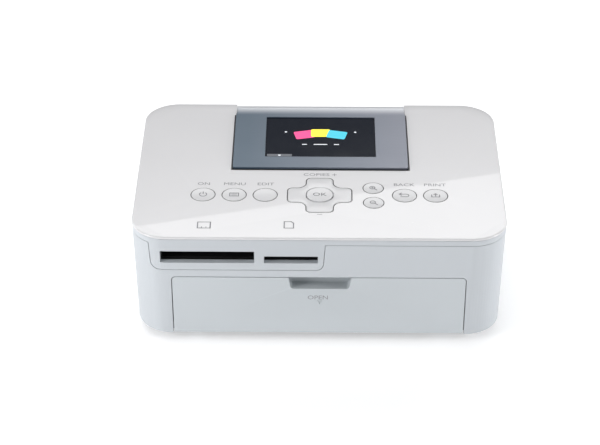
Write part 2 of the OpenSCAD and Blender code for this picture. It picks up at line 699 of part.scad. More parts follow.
membrane_room = dpad_w / 2 + 1.4;
module keypad_membrane() color("lightsteelblue") difference() {
    translate([0, 0, membrane_z1 - membrane_t]) linear_extrude(membrane_t)
        translate([0, key_row_y]) square([2 * key_x3 + 13, 27], center = true);
    translate([dpad_at[0], dpad_at[1], 0]) cylinder(h = big, r = membrane_room);
}

module control_board() color("darkgreen")
    block([-control_half, control_half], [control_y0, control_y1], [control_z0, control_z1]);

dpad_switch_r = carrier_r0 + 2.8 + 2.5;
module key_switches() color("silver") {
    for (p = concat(round_keys, zoom_keys)) switch(p);
    switch(dpad_at);
    for (a = [0 : 90 : 270]) switch(dpad_at + dpad_switch_r * [cos(a), sin(a)]);
}
module switch(at) {
    half = 2.1;
    block([at[0] - half, at[0] + half], [at[1] - half, at[1] + half], [control_z1, control_z1 + switch_h * 0.6]);
    translate([at[0], at[1], control_z1 + switch_h * 0.6 - eps]) cylinder(h = switch_h * 0.4, r = 1.2);
}

// ---- Electronics ----
main_x = [-78.5, plate_x + plate_t + 2];
main_y = [-57.5, -18];
socket_y0 = inner_front + slot_block_d + 0.15;
module main_board() color("darkgreen") block(main_x, main_y, [main_z0, main_z1]);

module card_socket(x, slot_w, slot_z, slot_h, top, depth) difference() {
    block([x - slot_w / 2 - 1.6, x + slot_w / 2 + 1.6], [socket_y0, socket_y0 + depth], [main_z1, top]);
    block([x - slot_w / 2, x + slot_w / 2], [-big, socket_y0 + depth - 3], [slot_z, slot_z + slot_h]);
}
cf_room_h = 4.6;
module cf_card_socket() color("silver")
    card_socket(cf_slot_x, cf_slot_w - 0.8, card_slot_z0 + 0.4, cf_room_h, card_slot_z0 + cf_slot_h + 0.2, 35);
module sd_card_socket() color("silver")
    card_socket(sd_slot_x, sd_slot_w - 0.8, card_slot_z0 + 0.3, 2.8, card_slot_z0 + sd_slot_h + 0.6, 28);

module board_components() color("black") {
    block([12, 28], [-50, -34], [main_z1, main_z1 + 1.4]);
    block([33, 43], [-52, -42], [main_z1, main_z1 + 1.2]);
    block([12, 40], [-28, -23], [main_z1, main_z1 + 2.6]);
    for (p = [[50, -50], [50, -40], [56, -30]]) translate([p[0], p[1], main_z1]) cylinder(h = 5.5, r = 3.1);
    for (x = [4 : 3 : 10]) block([x, x + 1.6], [-46, -45.2], [main_z1, main_z1 + 0.7]);
}

module dc_jack() color("black") difference() {
    block([jack_x - 4.5, jack_x + 4.5], [rear_y - wall - 12.5, rear_y - wall - 0.3], [flange_z, jack_z + 4.8]);
    bar_y(rear_y - wall - 9.5, rear_y, jack_x, jack_z, 2.75);
}

module usb_socket() color("silver") difference() {
    block([-case_w / 2 + side_lean + wall - 0.6, -73], usb_y, [main_z0 - usb_h, main_z0]);
    block([-case_w / 2 - 1, -76], [usb_y[0] + 0.6, usb_y[1] - 0.6], [main_z0 - usb_h + 0.5, main_z0 - 0.5]);
    block([-case_w, -case_w / 2 + wall + side_lean], usb_y, [main_z0 - usb_h - 1, main_z0 + 1]);
}

flex_w = 24;
flex_t = 0.3;
flex_z = tray_z1 - tray_t - 0.2;
module lcd_flex_cable() color("ivory") {
    block([panel_x - flex_w / 2, panel_x + flex_w / 2], [main_y[1] - 3, main_y[1] - 3 + flex_t], [main_z1, flex_z]);
    block([panel_x - flex_w / 2, panel_x + flex_w / 2], [main_y[1] - 3, trough_y - tray_wall - 0.3], [flex_z - flex_t, flex_z]);
}

// ---- Chassis ----
chassis_y1 = rear_y - wall - 3.2;
chassis_z1 = 50.8;
platen_y = 20;
platen_z = paper_z - platen_r;
capstan_y = 53.6;
capstan_z = paper_z - capstan_r;
pinch_z = paper_z + 0.3 + pinch_r;
pickup_y = -30;
pickup_z = 30;
pickup_journal = 2.5;
supply_y = -4;
takeup_y = 40;
spool_z = 33;
pivot_y = -8;
pivot_z = 48.2;
pivot_r = 1.5;

// Outline of a chassis plate in Y and Z
module plate_outline() difference() {
    polygon([[-48, flange_z], [chassis_y1, flange_z], [chassis_y1, 46], [49, 46], [48, chassis_z1],
        [main_y[1] + 1.5, chassis_z1], [main_y[1] + 1.5, main_z0], [-48, main_z0]]);
    translate([platen_y, platen_z]) circle(journal_r + run_gap);
    translate([capstan_y, capstan_z]) circle(journal_r + run_gap);
    translate([capstan_y, pinch_z]) circle(1.5 + run_gap);
    translate([pickup_y, pickup_z]) circle(pickup_journal + run_gap);
    translate([pivot_y, pivot_z]) circle(pivot_r + 0.02);
}

module chassis_left_plate() color("silver") push_x(-plate_x - plate_t, -plate_x) difference() {
    plate_outline();
    translate([takeup_y, spool_z]) circle(hub_r + run_gap);
    translate([idler_at[0], idler_at[1]]) circle(1.5 + 0.02);
}

module chassis_right_plate() color("silver") push_x(plate_x, plate_x + plate_t) difference() {
    plate_outline();
    translate([supply_y - tube_r - 1, spool_z - tube_r - 1])
        square([takeup_y - supply_y + 2 * tube_r + 2, 2 * tube_r + 2]);
}

module chassis_tie_plate() color("silver")
    block([-plate_x, plate_x], [4, chassis_y1], [flange_z, flange_z + plate_t]);

module roller(y, z, r, half, jr, x0, x1) {
    bar_x(-half, half, y, z, r);
    bar_x(x0, x1, y, z, jr);
}
end_x = plate_x + plate_t + 0.6;
gear_x1 = -(plate_x + plate_t + 1.2);
gear_x0 = gear_x1 - gear_t;
module platen_roller() color("dimgray") roller(platen_y, platen_z, platen_r, roller_len / 2, journal_r, gear_x0 - 1.2, end_x);
module capstan_roller() color("silver") roller(capstan_y, capstan_z, capstan_r, roller_len / 2, journal_r, gear_x0 - 1.2, end_x);
module pinch_roller() color("dimgray") roller(capstan_y, pinch_z, pinch_r, roller_len / 2 - 2, 1.5, -end_x, end_x);
module pickup_roller() color("dimgray") {
    bar_x(-end_x, end_x, pickup_y, pickup_z, pickup_journal);
    for (s = [-1, 1]) bar_x(s * 26 - 9, s * 26 + 9, pickup_y, pickup_z, pickup_r);
}

// ---- Gears ----
platen_n = 24;
capstan_n = 20;
idler_n = 36;
pinion_n = 12;
ribbon_n = 30;
function pitch_r(n) = n * gear_m / 2;
// Phase of gear b, whose centre lies at angle phi from gear a, so that it meshes with a
function mesh_phase(na, pa, nb, phi) = phi + 180 - (na / nb) * (pa - phi) + 180 / nb;
// The third corner of a triangle over p and q, at ra from p and rb from q
function apex(p, q, ra, rb) =
    let (v = q - p, d = norm(v), a = (ra * ra - rb * rb + d * d) / (2 * d), h = sqrt(ra * ra - a * a))
    p + a * v / d + h * [-v[1], v[0]] / d;
function heading(p, q) = atan2(q[1] - p[1], q[0] - p[0]);
platen_at = [platen_y, platen_z];
capstan_at = [capstan_y, capstan_z];
idler_at = apex(platen_at, capstan_at, pitch_r(platen_n + idler_n), pitch_r(capstan_n + idler_n));
pinion_angle = 152;
pinion_at = platen_at + pitch_r(platen_n + pinion_n) * [cos(pinion_angle), sin(pinion_angle)];
ribbon_at = [takeup_y, spool_z];
ribbon_angle = 160;
ribbon_pinion_at = ribbon_at + pitch_r(ribbon_n + pinion_n) * [cos(ribbon_angle), sin(ribbon_angle)];
idler_phase = mesh_phase(platen_n, 0, idler_n, heading(platen_at, idler_at));
capstan_phase = mesh_phase(idler_n, idler_phase, capstan_n, heading(idler_at, capstan_at));
pinion_phase = mesh_phase(platen_n, 0, pinion_n, pinion_angle);
ribbon_pinion_phase = mesh_phase(ribbon_n, 0, pinion_n, ribbon_angle);

// A spur gear outline with straight-sided teeth and backlash
module gear_outline(n, phase) rotate(phase) {
    r = pitch_r(n);
    root = r - 1.15 * gear_m;
    tip = r + 0.85 * gear_m;
    p = 360 / n;
    polygon([for (i = [0 : n - 1], v = [[root, -0.34], [r, -0.215], [tip, -0.10], [tip, 0.10], [r, 0.215], [root, 0.34]])
        v[0] * [cos((i + v[1]) * p), sin((i + v[1]) * p)]]);
}
module gear(n, phase, at, x0, x1, bore) push_x(x0, x1) difference() {
    translate(at) gear_outline(n, phase);
    translate(at) circle(bore);
}
module platen_gear() color("ivory") gear(platen_n, 0, platen_at, gear_x0, gear_x1, journal_r);
module capstan_gear() color("ivory") gear(capstan_n, capstan_phase, capstan_at, gear_x0, gear_x1, journal_r);
module idler_gear() color("ivory") gear(idler_n, idler_phase, idler_at, gear_x0, gear_x1, 1.5 + run_gap);
module idler_pin() color("silver") bar_x(bracket_x0, -plate_x, idler_at[0], idler_at[1], 1.5);

ribbon_x1 = gear_x0 - 0.8;
ribbon_x0 = ribbon_x1 - gear_t;
bracket_x1 = ribbon_x0 - 0.8;
bracket_x0 = bracket_x1 - plate_t;
hub_r = 2.4;
module feed_motor_pinion() color("goldenrod") {
    gear(pinion_n, pinion_phase, pinion_at, gear_x0, gear_x1, shaft_r - eps);
    bar_x(shaft_x0, gear_x1 + 0.3, pinion_at[0], pinion_at[1], shaft_r);
    bar_x(ribbon_x0, gear_x0 + eps, pinion_at[0], pinion_at[1], 2.4);
}
module ribbon_motor_pinion() color("goldenrod") {
    gear(pinion_n, ribbon_pinion_phase, ribbon_pinion_at, ribbon_x0, ribbon_x1, shaft_r - eps);
    bar_x(shaft_x0, ribbon_x1 + 0.2, ribbon_pinion_at[0], ribbon_pinion_at[1], shaft_r);
}
spool_x0 = -plate_x + 1.2;
module ribbon_gear() color("ivory") {
    gear(ribbon_n, 0, ribbon_at, ribbon_x0, ribbon_x1, 1);
    push_x(ribbon_x1 - eps, spool_x0 - 0.9) difference() {
        translate(ribbon_at) circle(hub_r);
        translate(ribbon_at) circle(1);
    }
}

motor_r = 10;
motor_x0 = -case_w / 2 + side_lean + wall + 1.2;
ribbon_motor_r = 7.5;
shaft_r = 1;
shaft_x0 = bracket_x0 - 5;
module motor(at, r) difference() {
    union() {
        bar_x(motor_x0, bracket_x0, at[0], at[1], r);
        bar_x(bracket_x0 - eps, bracket_x1 + 0.3, at[0], at[1], 2.6);
    }
    bar_x(shaft_x0 - 0.5, 0, at[0], at[1], shaft_r + run_gap);
}
module feed_motor() color("silver") motor(pinion_at, motor_r);
module ribbon_motor() color("silver") motor(ribbon_pinion_at, ribbon_motor_r);

module gear_bracket() color("silver") {
    push_x(bracket_x0, bracket_x1) difference() {
        polygon([[-1, flange_z], [chassis_y1, flange_z], [chassis_y1, 30], [40, 42], [20, 42], [14, 31], [-1, 31]]);
        translate(idler_at) circle(1.5 + 0.02);
        translate(pinion_at) circle(2.6 + 0.05);
        translate(ribbon_pinion_at) circle(2.6 + 0.05);
    }
    block([bracket_x1 - eps, -plate_x - plate_t], [0, 3], [flange_z, flange_z + 5]);
    block([bracket_x1 - eps, -plate_x - plate_t], [chassis_y1 - 3, chassis_y1], [26, 30]);
}

// ---- Print head ----
head_half = 52;
arm_x = 54;
arm_t = 2;
sink_y = [12, 25];
module head_arm() color("lightsteelblue") {
    for (s = [-1, 1]) push_x(s > 0 ? arm_x : -arm_x - arm_t, s > 0 ? arm_x + arm_t : -arm_x) difference() {
        union() {
            translate([pivot_y, pivot_z]) circle(3.2);
            polygon([[pivot_y, pivot_z + 3.2], [sink_y[1], 46.4], [sink_y[1], 36], [sink_y[0], 36], [sink_y[0], 44.2], [pivot_y, pivot_z - 3.2]]);
        }
        translate([pivot_y, pivot_z]) circle(pivot_r + run_gap);
    }
    block([-arm_x, arm_x], sink_y, [38, 39.4]);
}
module thermal_head() color("darkgray") {
    block([-head_half, head_half], [sink_y[0] + 2, sink_y[1] - 1], [paper_z + 1.6, paper_z + 3.4]);
    block([-head_half, head_half], [platen_y - 2, platen_y + 2], [paper_z + 0.35, paper_z + 1.7]);
}
module heat_sink() color("silver") difference() {
    block([-head_half, head_half], sink_y, [paper_z + 3.4, 38]);
    for (i = [0 : 2]) block([-big, big], [sink_y[0] + 2 + i * 3.6, sink_y[0] + 3.8 + i * 3.6], [paper_z + 7, 37]);
}
module head_pivot_shaft() color("silver") bar_x(-end_x, end_x, pivot_y, pivot_z, pivot_r);

// ---- Ink cassette ----
spool_x1 = 76;
tube_t = 1.2;
module tube_section(y, from) translate([y, spool_z]) difference() {
    circle(tube_r, $fn = 96);
    circle(tube_r - tube_t, $fn = 96);
    rotate(from) translate([0, -3]) square([big, 6]);
}
module ink_cassette_shell() color("gray") {
    push_x(spool_x0, spool_x1) tube_section(supply_y, -75);
    push_x(spool_x0, spool_x1) tube_section(takeup_y, -105);
    for (x = [spool_x0, spool_x1 - 2]) push_x(x, x + 2) difference() {
        union() {
            for (y = [supply_y, takeup_y]) translate([y, spool_z]) circle(tube_r - 0.5, $fn = 96);
            translate([supply_y, 40.2]) square([takeup_y - supply_y, 3.2]);
        }
        for (y = [supply_y, takeup_y]) translate([y, spool_z]) circle(3.5 + run_gap);
    }
}
module spool(y, film_r) {
    bar_x(spool_x0 + 2.4, spool_x1 - 2.4, y, spool_z, 4.6);
    bar_x(spool_x0 + 8, spool_x1 - 8, y, spool_z, film_r);
    for (x = [spool_x0 + 3.4, spool_x1 - 5]) bar_x(x, x + 1.6, y, spool_z, tube_r - tube_t - 0.6);
}
module supply_spool() color("dimgray") {
    spool(supply_y, 8.4);
    bar_x(spool_x0 - 0.9, spool_x1 + 0.8, supply_y, spool_z, 3.5);
}
module takeup_spool() color("dimgray") {
    spool(takeup_y, 6.2);
    bar_x(spool_x0 - 0.9, spool_x1 + 0.8, takeup_y, spool_z, 3.5);
}

// ---- Fan ----
fan_y = -15;
fan_z = 22;
fan_half = 14;
fan_x0 = -case_w / 2 + side_lean + wall + 0.3;
fan_t = 7;
module fan_frame() color("black") difference() {
    block([fan_x0, fan_x0 + fan_t], [fan_y - fan_half, fan_y + fan_half], [flange_z, fan_z + fan_half]);
    push_x(fan_x0 - 1, fan_x0 + fan_t - 1.2) translate([fan_y, fan_z]) circle(fan_half - 1.4);
    push_x(fan_x0 + fan_t - 1.4, fan_x0 + fan_t + 1) translate([fan_y, fan_z]) difference() {
        circle(fan_half - 1.4);
        circle(5.4);
        for (a = [30, 150, 270]) rotate(a) translate([0, -0.9]) square([fan_half, 1.8]);
    }
    bar_x(-big, big, fan_y, fan_z, 0.9 + run_gap);
}
module fan_rotor() color("dimgray") {
    hub = 5;
    x0 = fan_x0 + 0.8;
    x1 = fan_x0 + fan_t - 1.5;
    bar_x(x0, x1, fan_y, fan_z, hub);
    bar_x(x1 - eps, fan_x0 + fan_t - 0.1, fan_y, fan_z, 0.9);
    for (a = [0 : 51.4286 : 350]) translate([(x0 + x1) / 2, fan_y, fan_z]) rotate([a, 0, 0])
        translate([0, 0, hub - 0.5]) rotate([0, 0, 32]) translate([-2, -0.4, 0]) cube([4, 0.8, fan_half - 2.2 - hub + 0.5]);
}

// ---- Drawing ----
top_cover();
upper_case();
lower_case();
base_plate();
rubber_feet();
paper_door();
paper_door_pins();
ink_door();
ink_door_pins();
lcd_bezel();
lcd_back_shell();
lcd_screen();
lcd_hinge_pins();
power_button();
menu_button();
edit_button();
dpad();
dpad_carrier();
ok_button();
zoom_in_button();
zoom_out_button();
back_button();
print_button();
keypad_membrane();
control_board();
key_switches();
main_board();
board_components();
cf_card_socket();
sd_card_socket();
dc_jack();
usb_socket();
lcd_flex_cable();
chassis_left_plate();
chassis_right_plate();
chassis_tie_plate();
platen_roller();
platen_gear();
capstan_roller();
capstan_gear();
pinch_roller();
pickup_roller();
idler_gear();
idler_pin();
feed_motor();
feed_motor_pinion();
gear_bracket();
head_arm();
thermal_head();
heat_sink();
head_pivot_shaft();
ribbon_gear();
ribbon_motor();
ribbon_motor_pinion();
ink_cassette_shell();
supply_spool();
takeup_spool();
fan_frame();
fan_rotor();
case_screws();
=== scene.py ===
import math

import bmesh
import bpy
from mathutils import Matrix, Vector


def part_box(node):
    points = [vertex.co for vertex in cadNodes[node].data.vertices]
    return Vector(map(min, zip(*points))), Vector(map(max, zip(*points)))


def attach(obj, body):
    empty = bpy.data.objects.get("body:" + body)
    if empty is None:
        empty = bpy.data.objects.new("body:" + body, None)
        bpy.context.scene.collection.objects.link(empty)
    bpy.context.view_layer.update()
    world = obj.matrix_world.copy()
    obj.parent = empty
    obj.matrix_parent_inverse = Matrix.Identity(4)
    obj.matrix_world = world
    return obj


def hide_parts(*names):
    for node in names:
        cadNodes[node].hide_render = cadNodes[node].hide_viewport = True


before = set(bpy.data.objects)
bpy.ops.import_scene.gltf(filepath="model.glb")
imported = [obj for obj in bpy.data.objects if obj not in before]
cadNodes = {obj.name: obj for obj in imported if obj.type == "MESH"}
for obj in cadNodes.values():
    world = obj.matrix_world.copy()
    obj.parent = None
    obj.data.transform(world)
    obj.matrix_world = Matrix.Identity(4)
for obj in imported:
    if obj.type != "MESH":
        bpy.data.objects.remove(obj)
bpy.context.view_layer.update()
mm = 0.001
upward = Vector((0, 0, 1))
scene = bpy.context.scene
print("frame loaded:", len(cadNodes), "nodes")


def addSocket(group, name, kind, inOut, value=None):
    socket = group.interface.new_socket(name=name, in_out=inOut, socket_type=kind)
    if value is not None:
        socket.default_value = value


def wire(tree, fromNode, fromName, toNode, toName):
    tree.links.new(fromNode.outputs[fromName], toNode.inputs[toName])


def mathNode(tree, operation, *values):
    node = tree.nodes.new("ShaderNodeMath")
    node.operation = operation
    for socket, value in zip(node.inputs, values):
        if hasattr(value, "is_output"):
            tree.links.new(value, socket)
        else:
            socket.default_value = value
    return node.outputs[0]


def noiseNode(tree, vector, scale, detail=2.0, roughness=0.5):
    node = tree.nodes.new("ShaderNodeTexNoise")
    node.inputs["Detail"].default_value = detail
    node.inputs["Roughness"].default_value = roughness
    tree.links.new(vector, node.inputs["Vector"])
    if hasattr(scale, "is_output"):
        tree.links.new(scale, node.inputs["Scale"])
    else:
        node.inputs["Scale"].default_value = scale
    return node.outputs["Fac"]


def mapped(tree, value, fromMin, fromMax, toMin=0.0, toMax=1.0, smooth=False):
    node = tree.nodes.new("ShaderNodeMapRange")
    node.interpolation_type = "SMOOTHSTEP" if smooth else "LINEAR"
    for socket, limit in zip(("From Min", "From Max", "To Min", "To Max"), (fromMin, fromMax, toMin, toMax)):
        node.inputs[socket].default_value = limit
    tree.links.new(value, node.inputs["Value"])
    return node.outputs[0]


def mixColour(tree, factor, first, second):
    node = tree.nodes.new("ShaderNodeMix")
    node.data_type = "RGBA"
    tree.links.new(factor, node.inputs["Factor"])
    for socket, colour in (("A", first), ("B", second)):
        if hasattr(colour, "is_output"):
            tree.links.new(colour, node.inputs[socket])
        else:
            node.inputs[socket].default_value = (*colour, 1)
    return node.outputs["Result"]


def centred(tree, value):
    return mathNode(tree, "SUBTRACT", value, 0.5)


def mouldedGroup():  # fine grain, slow mottle and a painted highlight that makes convex rims a little lighter
    group = bpy.data.node_groups.new("mouldedSkin", "ShaderNodeTree")
    addSocket(group, "Colour", "NodeSocketColor", "INPUT", (0.8, 0.8, 0.8, 1))
    addSocket(group, "Roughness", "NodeSocketFloat", "INPUT", 0.4)
    addSocket(group, "Grain", "NodeSocketFloat", "INPUT", 2000)
    addSocket(group, "Mottle", "NodeSocketFloat", "INPUT", 0.03)
    addSocket(group, "Colour", "NodeSocketColor", "OUTPUT")
    addSocket(group, "Roughness", "NodeSocketFloat", "OUTPUT")
    addSocket(group, "Height", "NodeSocketFloat", "OUTPUT")
    given = group.nodes.new("NodeGroupInput")
    result = group.nodes.new("NodeGroupOutput")
    place = group.nodes.new("ShaderNodeTexCoord").outputs["Object"]
    grain = noiseNode(group, place, given.outputs["Grain"], 3.0, 0.6)
    cloud = noiseNode(group, place, 34.0, 4.0, 0.55)
    rim = group.nodes.new("ShaderNodeNewGeometry").outputs["Pointiness"]
    rimHighlightMask = mapped(group, rim, 0.51, 0.60)
    swing = mathNode(group, "MULTIPLY", centred(group, cloud), given.outputs["Mottle"])
    # painted highlight: colour lifted a little on convex rims
    lift = mathNode(group, "MULTIPLY", rimHighlightMask, 0.05)
    value = mathNode(group, "ADD", mathNode(group, "ADD", swing, lift), 1.0)
    tint = group.nodes.new("ShaderNodeHueSaturation")
    group.links.new(value, tint.inputs["Value"])
    wire(group, given, "Colour", tint, "Color")
    wire(group, tint, "Color", result, "Colour")
    rough = mathNode(group, "MULTIPLY_ADD", centred(group, grain), 0.10, given.outputs["Roughness"])
    streak = mathNode(group, "MULTIPLY", centred(group, cloud), 0.08)
    group.links.new(mathNode(group, "ADD", rough, streak), result.inputs["Roughness"])
    group.links.new(grain, result.inputs["Height"])
    return group


def brushedGroup():  # drawn-out noise for sheet, ground and turned metal
    group = bpy.data.node_groups.new("brushedSkin", "ShaderNodeTree")
    addSocket(group, "Colour", "NodeSocketColor", "INPUT", (0.6, 0.6, 0.6, 1))
    addSocket(group, "Roughness", "NodeSocketFloat", "INPUT", 0.3)
    addSocket(group, "Stretch", "NodeSocketVector", "INPUT", (100, 2000, 2000))
    addSocket(group, "Colour", "NodeSocketColor", "OUTPUT")
    addSocket(group, "Roughness", "NodeSocketFloat", "OUTPUT")
    addSocket(group, "Height", "NodeSocketFloat", "OUTPUT")
    given = group.nodes.new("NodeGroupInput")
    result = group.nodes.new("NodeGroupOutput")
    place = group.nodes.new("ShaderNodeTexCoord").outputs["Object"]
    scaled = group.nodes.new("ShaderNodeVectorMath")
    scaled.operation = "MULTIPLY"
    group.links.new(place, scaled.inputs[0])
    wire(group, given, "Stretch", scaled, 1)
    marks = noiseNode(group, scaled.outputs[0], 1.0, 3.0, 0.6)
    smudge = noiseNode(group, place, 60.0, 3.0, 0.5)
    tint = group.nodes.new("ShaderNodeHueSaturation")
    shade = mathNode(group, "MULTIPLY_ADD", centred(group, marks), 0.22, 1.0)
    group.links.new(shade, tint.inputs["Value"])
    wire(group, given, "Colour", tint, "Color")
    wire(group, tint, "Color", result, "Colour")
    rough = mathNode(group, "MULTIPLY_ADD", centred(group, smudge), 0.18, given.outputs["Roughness"])
    group.links.new(rough, result.inputs["Roughness"])
    group.links.new(marks, result.inputs["Height"])
    return group


mouldedSkin = mouldedGroup()
brushedSkin = brushedGroup()


def newMaterial(name):
    material = bpy.data.materials.new(name)
    material.use_nodes = True
    tree = material.node_tree
    return material, tree, tree.nodes["Principled BSDF"]


def setSockets(shader, **values):
    for name, value in values.items():
        shader.inputs[name.replace("_", " ")].default_value = value


def bumpInto(tree, shader, height, depth, rim=0.0):
    bump = tree.nodes.new("ShaderNodeBump")
    bump.inputs["Strength"].default_value = 0.35
    bump.inputs["Distance"].default_value = depth * mm
    tree.links.new(height, bump.inputs["Height"])
    if rim:
        rounded = tree.nodes.new("ShaderNodeBevel")
        rounded.samples = 4
        rounded.inputs["Radius"].default_value = rim * mm
        wire(tree, rounded, "Normal", bump, "Normal")
    wire(tree, bump, "Normal", shader, "Normal")


plastics = dict(  # colour, roughness, coat, grain per metre, grain depth in mm, mottle, rim radius in mm
    topGloss=((0.79, 0.785, 0.80), 0.24, 0.34, 900, 0.001, 0.015, 0.18),
    # case and door: the top's white plastic with a real satin finish; their darker colour is painted shade for
    # the less-lit front and sides
    caseSatinPaintedShade=((0.55, 0.58, 0.61), 0.42, 0.0, 2600, 0.010, 0.03, 0.22),
    doorSatinPaintedShade=((0.555, 0.59, 0.615), 0.42, 0.0, 2600, 0.010, 0.03, 0.25),
    keySatin=((0.77, 0.77, 0.785), 0.30, 0.20, 1800, 0.004, 0.02, 0.0),
    baseGrey=((0.20, 0.21, 0.22), 0.60, 0.0, 1500, 0.020, 0.06, 0.2),
    shellDark=((0.010, 0.011, 0.014), 0.38, 0.0, 2200, 0.010, 0.05, 0.15),
    innerGrey=((0.30, 0.31, 0.33), 0.50, 0.0, 1800, 0.014, 0.05, 0.12),
    blackMoulded=((0.012, 0.012, 0.013), 0.45, 0.0, 2400, 0.012, 0.05, 0.1),
    cassetteGrey=((0.09, 0.095, 0.105), 0.42, 0.0, 2000, 0.014, 0.06, 0.15),
    gearIvory=((0.72, 0.69, 0.58), 0.36, 0.0, 1800, 0.006, 0.04, 0.05),
    softRubber=((0.018, 0.018, 0.020), 0.82, 0.0, 3200, 0.030, 0.10, 0.2),
    rollerRubber=((0.030, 0.030, 0.034), 0.74, 0.0, 2600, 0.040, 0.08, 0.1),
    membraneBlue=((0.45, 0.52, 0.58), 0.55, 0.0, 1500, 0.010, 0.05, 0.0),
    ceramicBar=((0.55, 0.52, 0.46), 0.35, 0.3, 1400, 0.004, 0.05, 0.0),
)
coatRoughness = dict(topGloss=0.015, others=0.06)


def plasticMaterial(name):
    colour, roughness, coat, grain, depth, mottle, rim = plastics[name]
    material, tree, shader = newMaterial(name)
    skin = tree.nodes.new("ShaderNodeGroup")
    skin.node_tree = mouldedSkin
    setSockets(skin, Colour=(*colour, 1), Roughness=roughness, Grain=grain, Mottle=mottle)
    wire(tree, skin, "Colour", shader, "Base Color")
    wire(tree, skin, "Roughness", shader, "Roughness")
    bumpInto(tree, shader, skin.outputs["Height"], depth, rim)
    setSockets(shader, Coat_Weight=coat, Coat_Roughness=coatRoughness.get(name, coatRoughness["others"]))
    return material


metals = dict(  # colour, roughness, stretch of the brush marks
    sheetSteel=((0.62, 0.63, 0.65), 0.34, (60, 2600, 2600)),
    groundSteel=((0.70, 0.71, 0.72), 0.20, (2200, 200, 200)),
    motorCan=((0.48, 0.49, 0.51), 0.30, (300, 1800, 1800)),
    brassPinion=((0.62, 0.46, 0.20), 0.28, (300, 1600, 1600)),
    sinkAluminium=((0.66, 0.67, 0.69), 0.32, (40, 2400, 2400)),
)


def metalMaterial(name):
    colour, roughness, stretch = metals[name]
    material, tree, shader = newMaterial(name)
    skin = tree.nodes.new("ShaderNodeGroup")
    skin.node_tree = brushedSkin
    setSockets(skin, Colour=(*colour, 1), Roughness=roughness, Stretch=stretch)
    wire(tree, skin, "Colour", shader, "Base Color")
    wire(tree, skin, "Roughness", shader, "Roughness")
    bumpInto(tree, shader, skin.outputs["Height"], 0.006)
    setSockets(shader, Metallic=1.0)
    return material


# bezel colours: painted shading from the darker left to the lighter right, and a pale painted highlight along
# the rear roll
bezel = dict(left=(0.068, 0.105, 0.145), right=(0.190, 0.203, 0.245), rear=(0.80, 0.81, 0.84),
             sides=(-0.036, 0.040), rearFrom=0.0495, rearTo=0.0605, brush=(30, 4200, 4200))


def bezelMaterial():  # brushed plate under a satin lacquer, with painted shading that is darker on the left and lighter on the right, and a pale painted highlight where the rear edge rolls over
    material, tree, shader = newMaterial("bezelLacquerAndPaintedLight")
    place = tree.nodes.new("ShaderNodeTexCoord").outputs["Object"]
    apart = tree.nodes.new("ShaderNodeSeparateXYZ")
    tree.links.new(place, apart.inputs[0])
    # masks for the painted side shading and the painted rear highlight
    sideShading = mapped(tree, apart.outputs["X"], *bezel["sides"])
    rearHighlightMask = mapped(tree, apart.outputs["Y"], bezel["rearFrom"], bezel["rearTo"], smooth=True)
    base = mixColour(tree, rearHighlightMask, mixColour(tree, sideShading, bezel["left"], bezel["right"]), bezel["rear"])
    skin = tree.nodes.new("ShaderNodeGroup")
    skin.node_tree = brushedSkin
    setSockets(skin, Roughness=0.32, Stretch=bezel["brush"])
    tree.links.new(base, skin.inputs["Colour"])
    wire(tree, skin, "Colour", shader, "Base Color")
    wire(tree, skin, "Roughness", shader, "Roughness")
    bumpInto(tree, shader, skin.outputs["Height"], 0.004, 0.3)
    setSockets(shader, Metallic=0.4, Coat_Weight=0.15, Coat_Roughness=0.3)
    return material


def glassMaterial():  # the display's dark window, with a faint sub-pixel grid deep inside
    material, tree, shader = newMaterial("displayWindow")
    place = tree.nodes.new("ShaderNodeTexCoord").outputs["Object"]
    apart = tree.nodes.new("ShaderNodeSeparateXYZ")
    tree.links.new(place, apart.inputs[0])
    grid = mathNode(tree, "SINE", mathNode(tree, "MULTIPLY", apart.outputs["X"], 2 * math.pi / (0.17 * mm)))
    shade = mathNode(tree, "MULTIPLY_ADD", grid, 0.08, 0.5)
    base = mixColour(tree, shade, (0.006, 0.009, 0.018), (0.011, 0.015, 0.026))
    tree.links.new(base, shader.inputs["Base Color"])
    smear = mathNode(tree, "MULTIPLY_ADD", noiseNode(tree, place, 120.0, 3.0), 0.06, 0.08)
    tree.links.new(smear, shader.inputs["Roughness"])
    setSockets(shader, Coat_Weight=0.08, Coat_Roughness=0.04, Specular_IOR_Level=0.15)
    return material


def glowMaterial(name, colour, strength):  # a lit part of the picture on the display
    material, tree, shader = newMaterial(name)
    place = tree.nodes.new("ShaderNodeTexCoord").outputs["Object"]
    cells = noiseNode(tree, place, 2400.0, 1.0)
    tint = tree.nodes.new("ShaderNodeHueSaturation")
    tint.inputs["Color"].default_value = (*colour, 1)
    tree.links.new(mathNode(tree, "MULTIPLY_ADD", cells, 0.2, 0.9), tint.inputs["Value"])
    wire(tree, tint, "Color", shader, "Base Color")
    wire(tree, tint, "Color", shader, "Emission Color")
    setSockets(shader, Emission_Strength=strength, Roughness=0.35)
    return material


def printMaterial(name, colour):  # pad-printed ink, a little uneven
    material, tree, shader = newMaterial(name)
    place = tree.nodes.new("ShaderNodeTexCoord").outputs["Object"]
    tint = tree.nodes.new("ShaderNodeHueSaturation")
    tint.inputs["Color"].default_value = (*colour, 1)
    cover = noiseNode(tree, place, 2500.0, 2.0)
    tree.links.new(mathNode(tree, "MULTIPLY_ADD", cover, 0.3, 0.85), tint.inputs["Value"])
    wire(tree, tint, "Color", shader, "Base Color")
    setSockets(shader, Roughness=0.5)
    return material


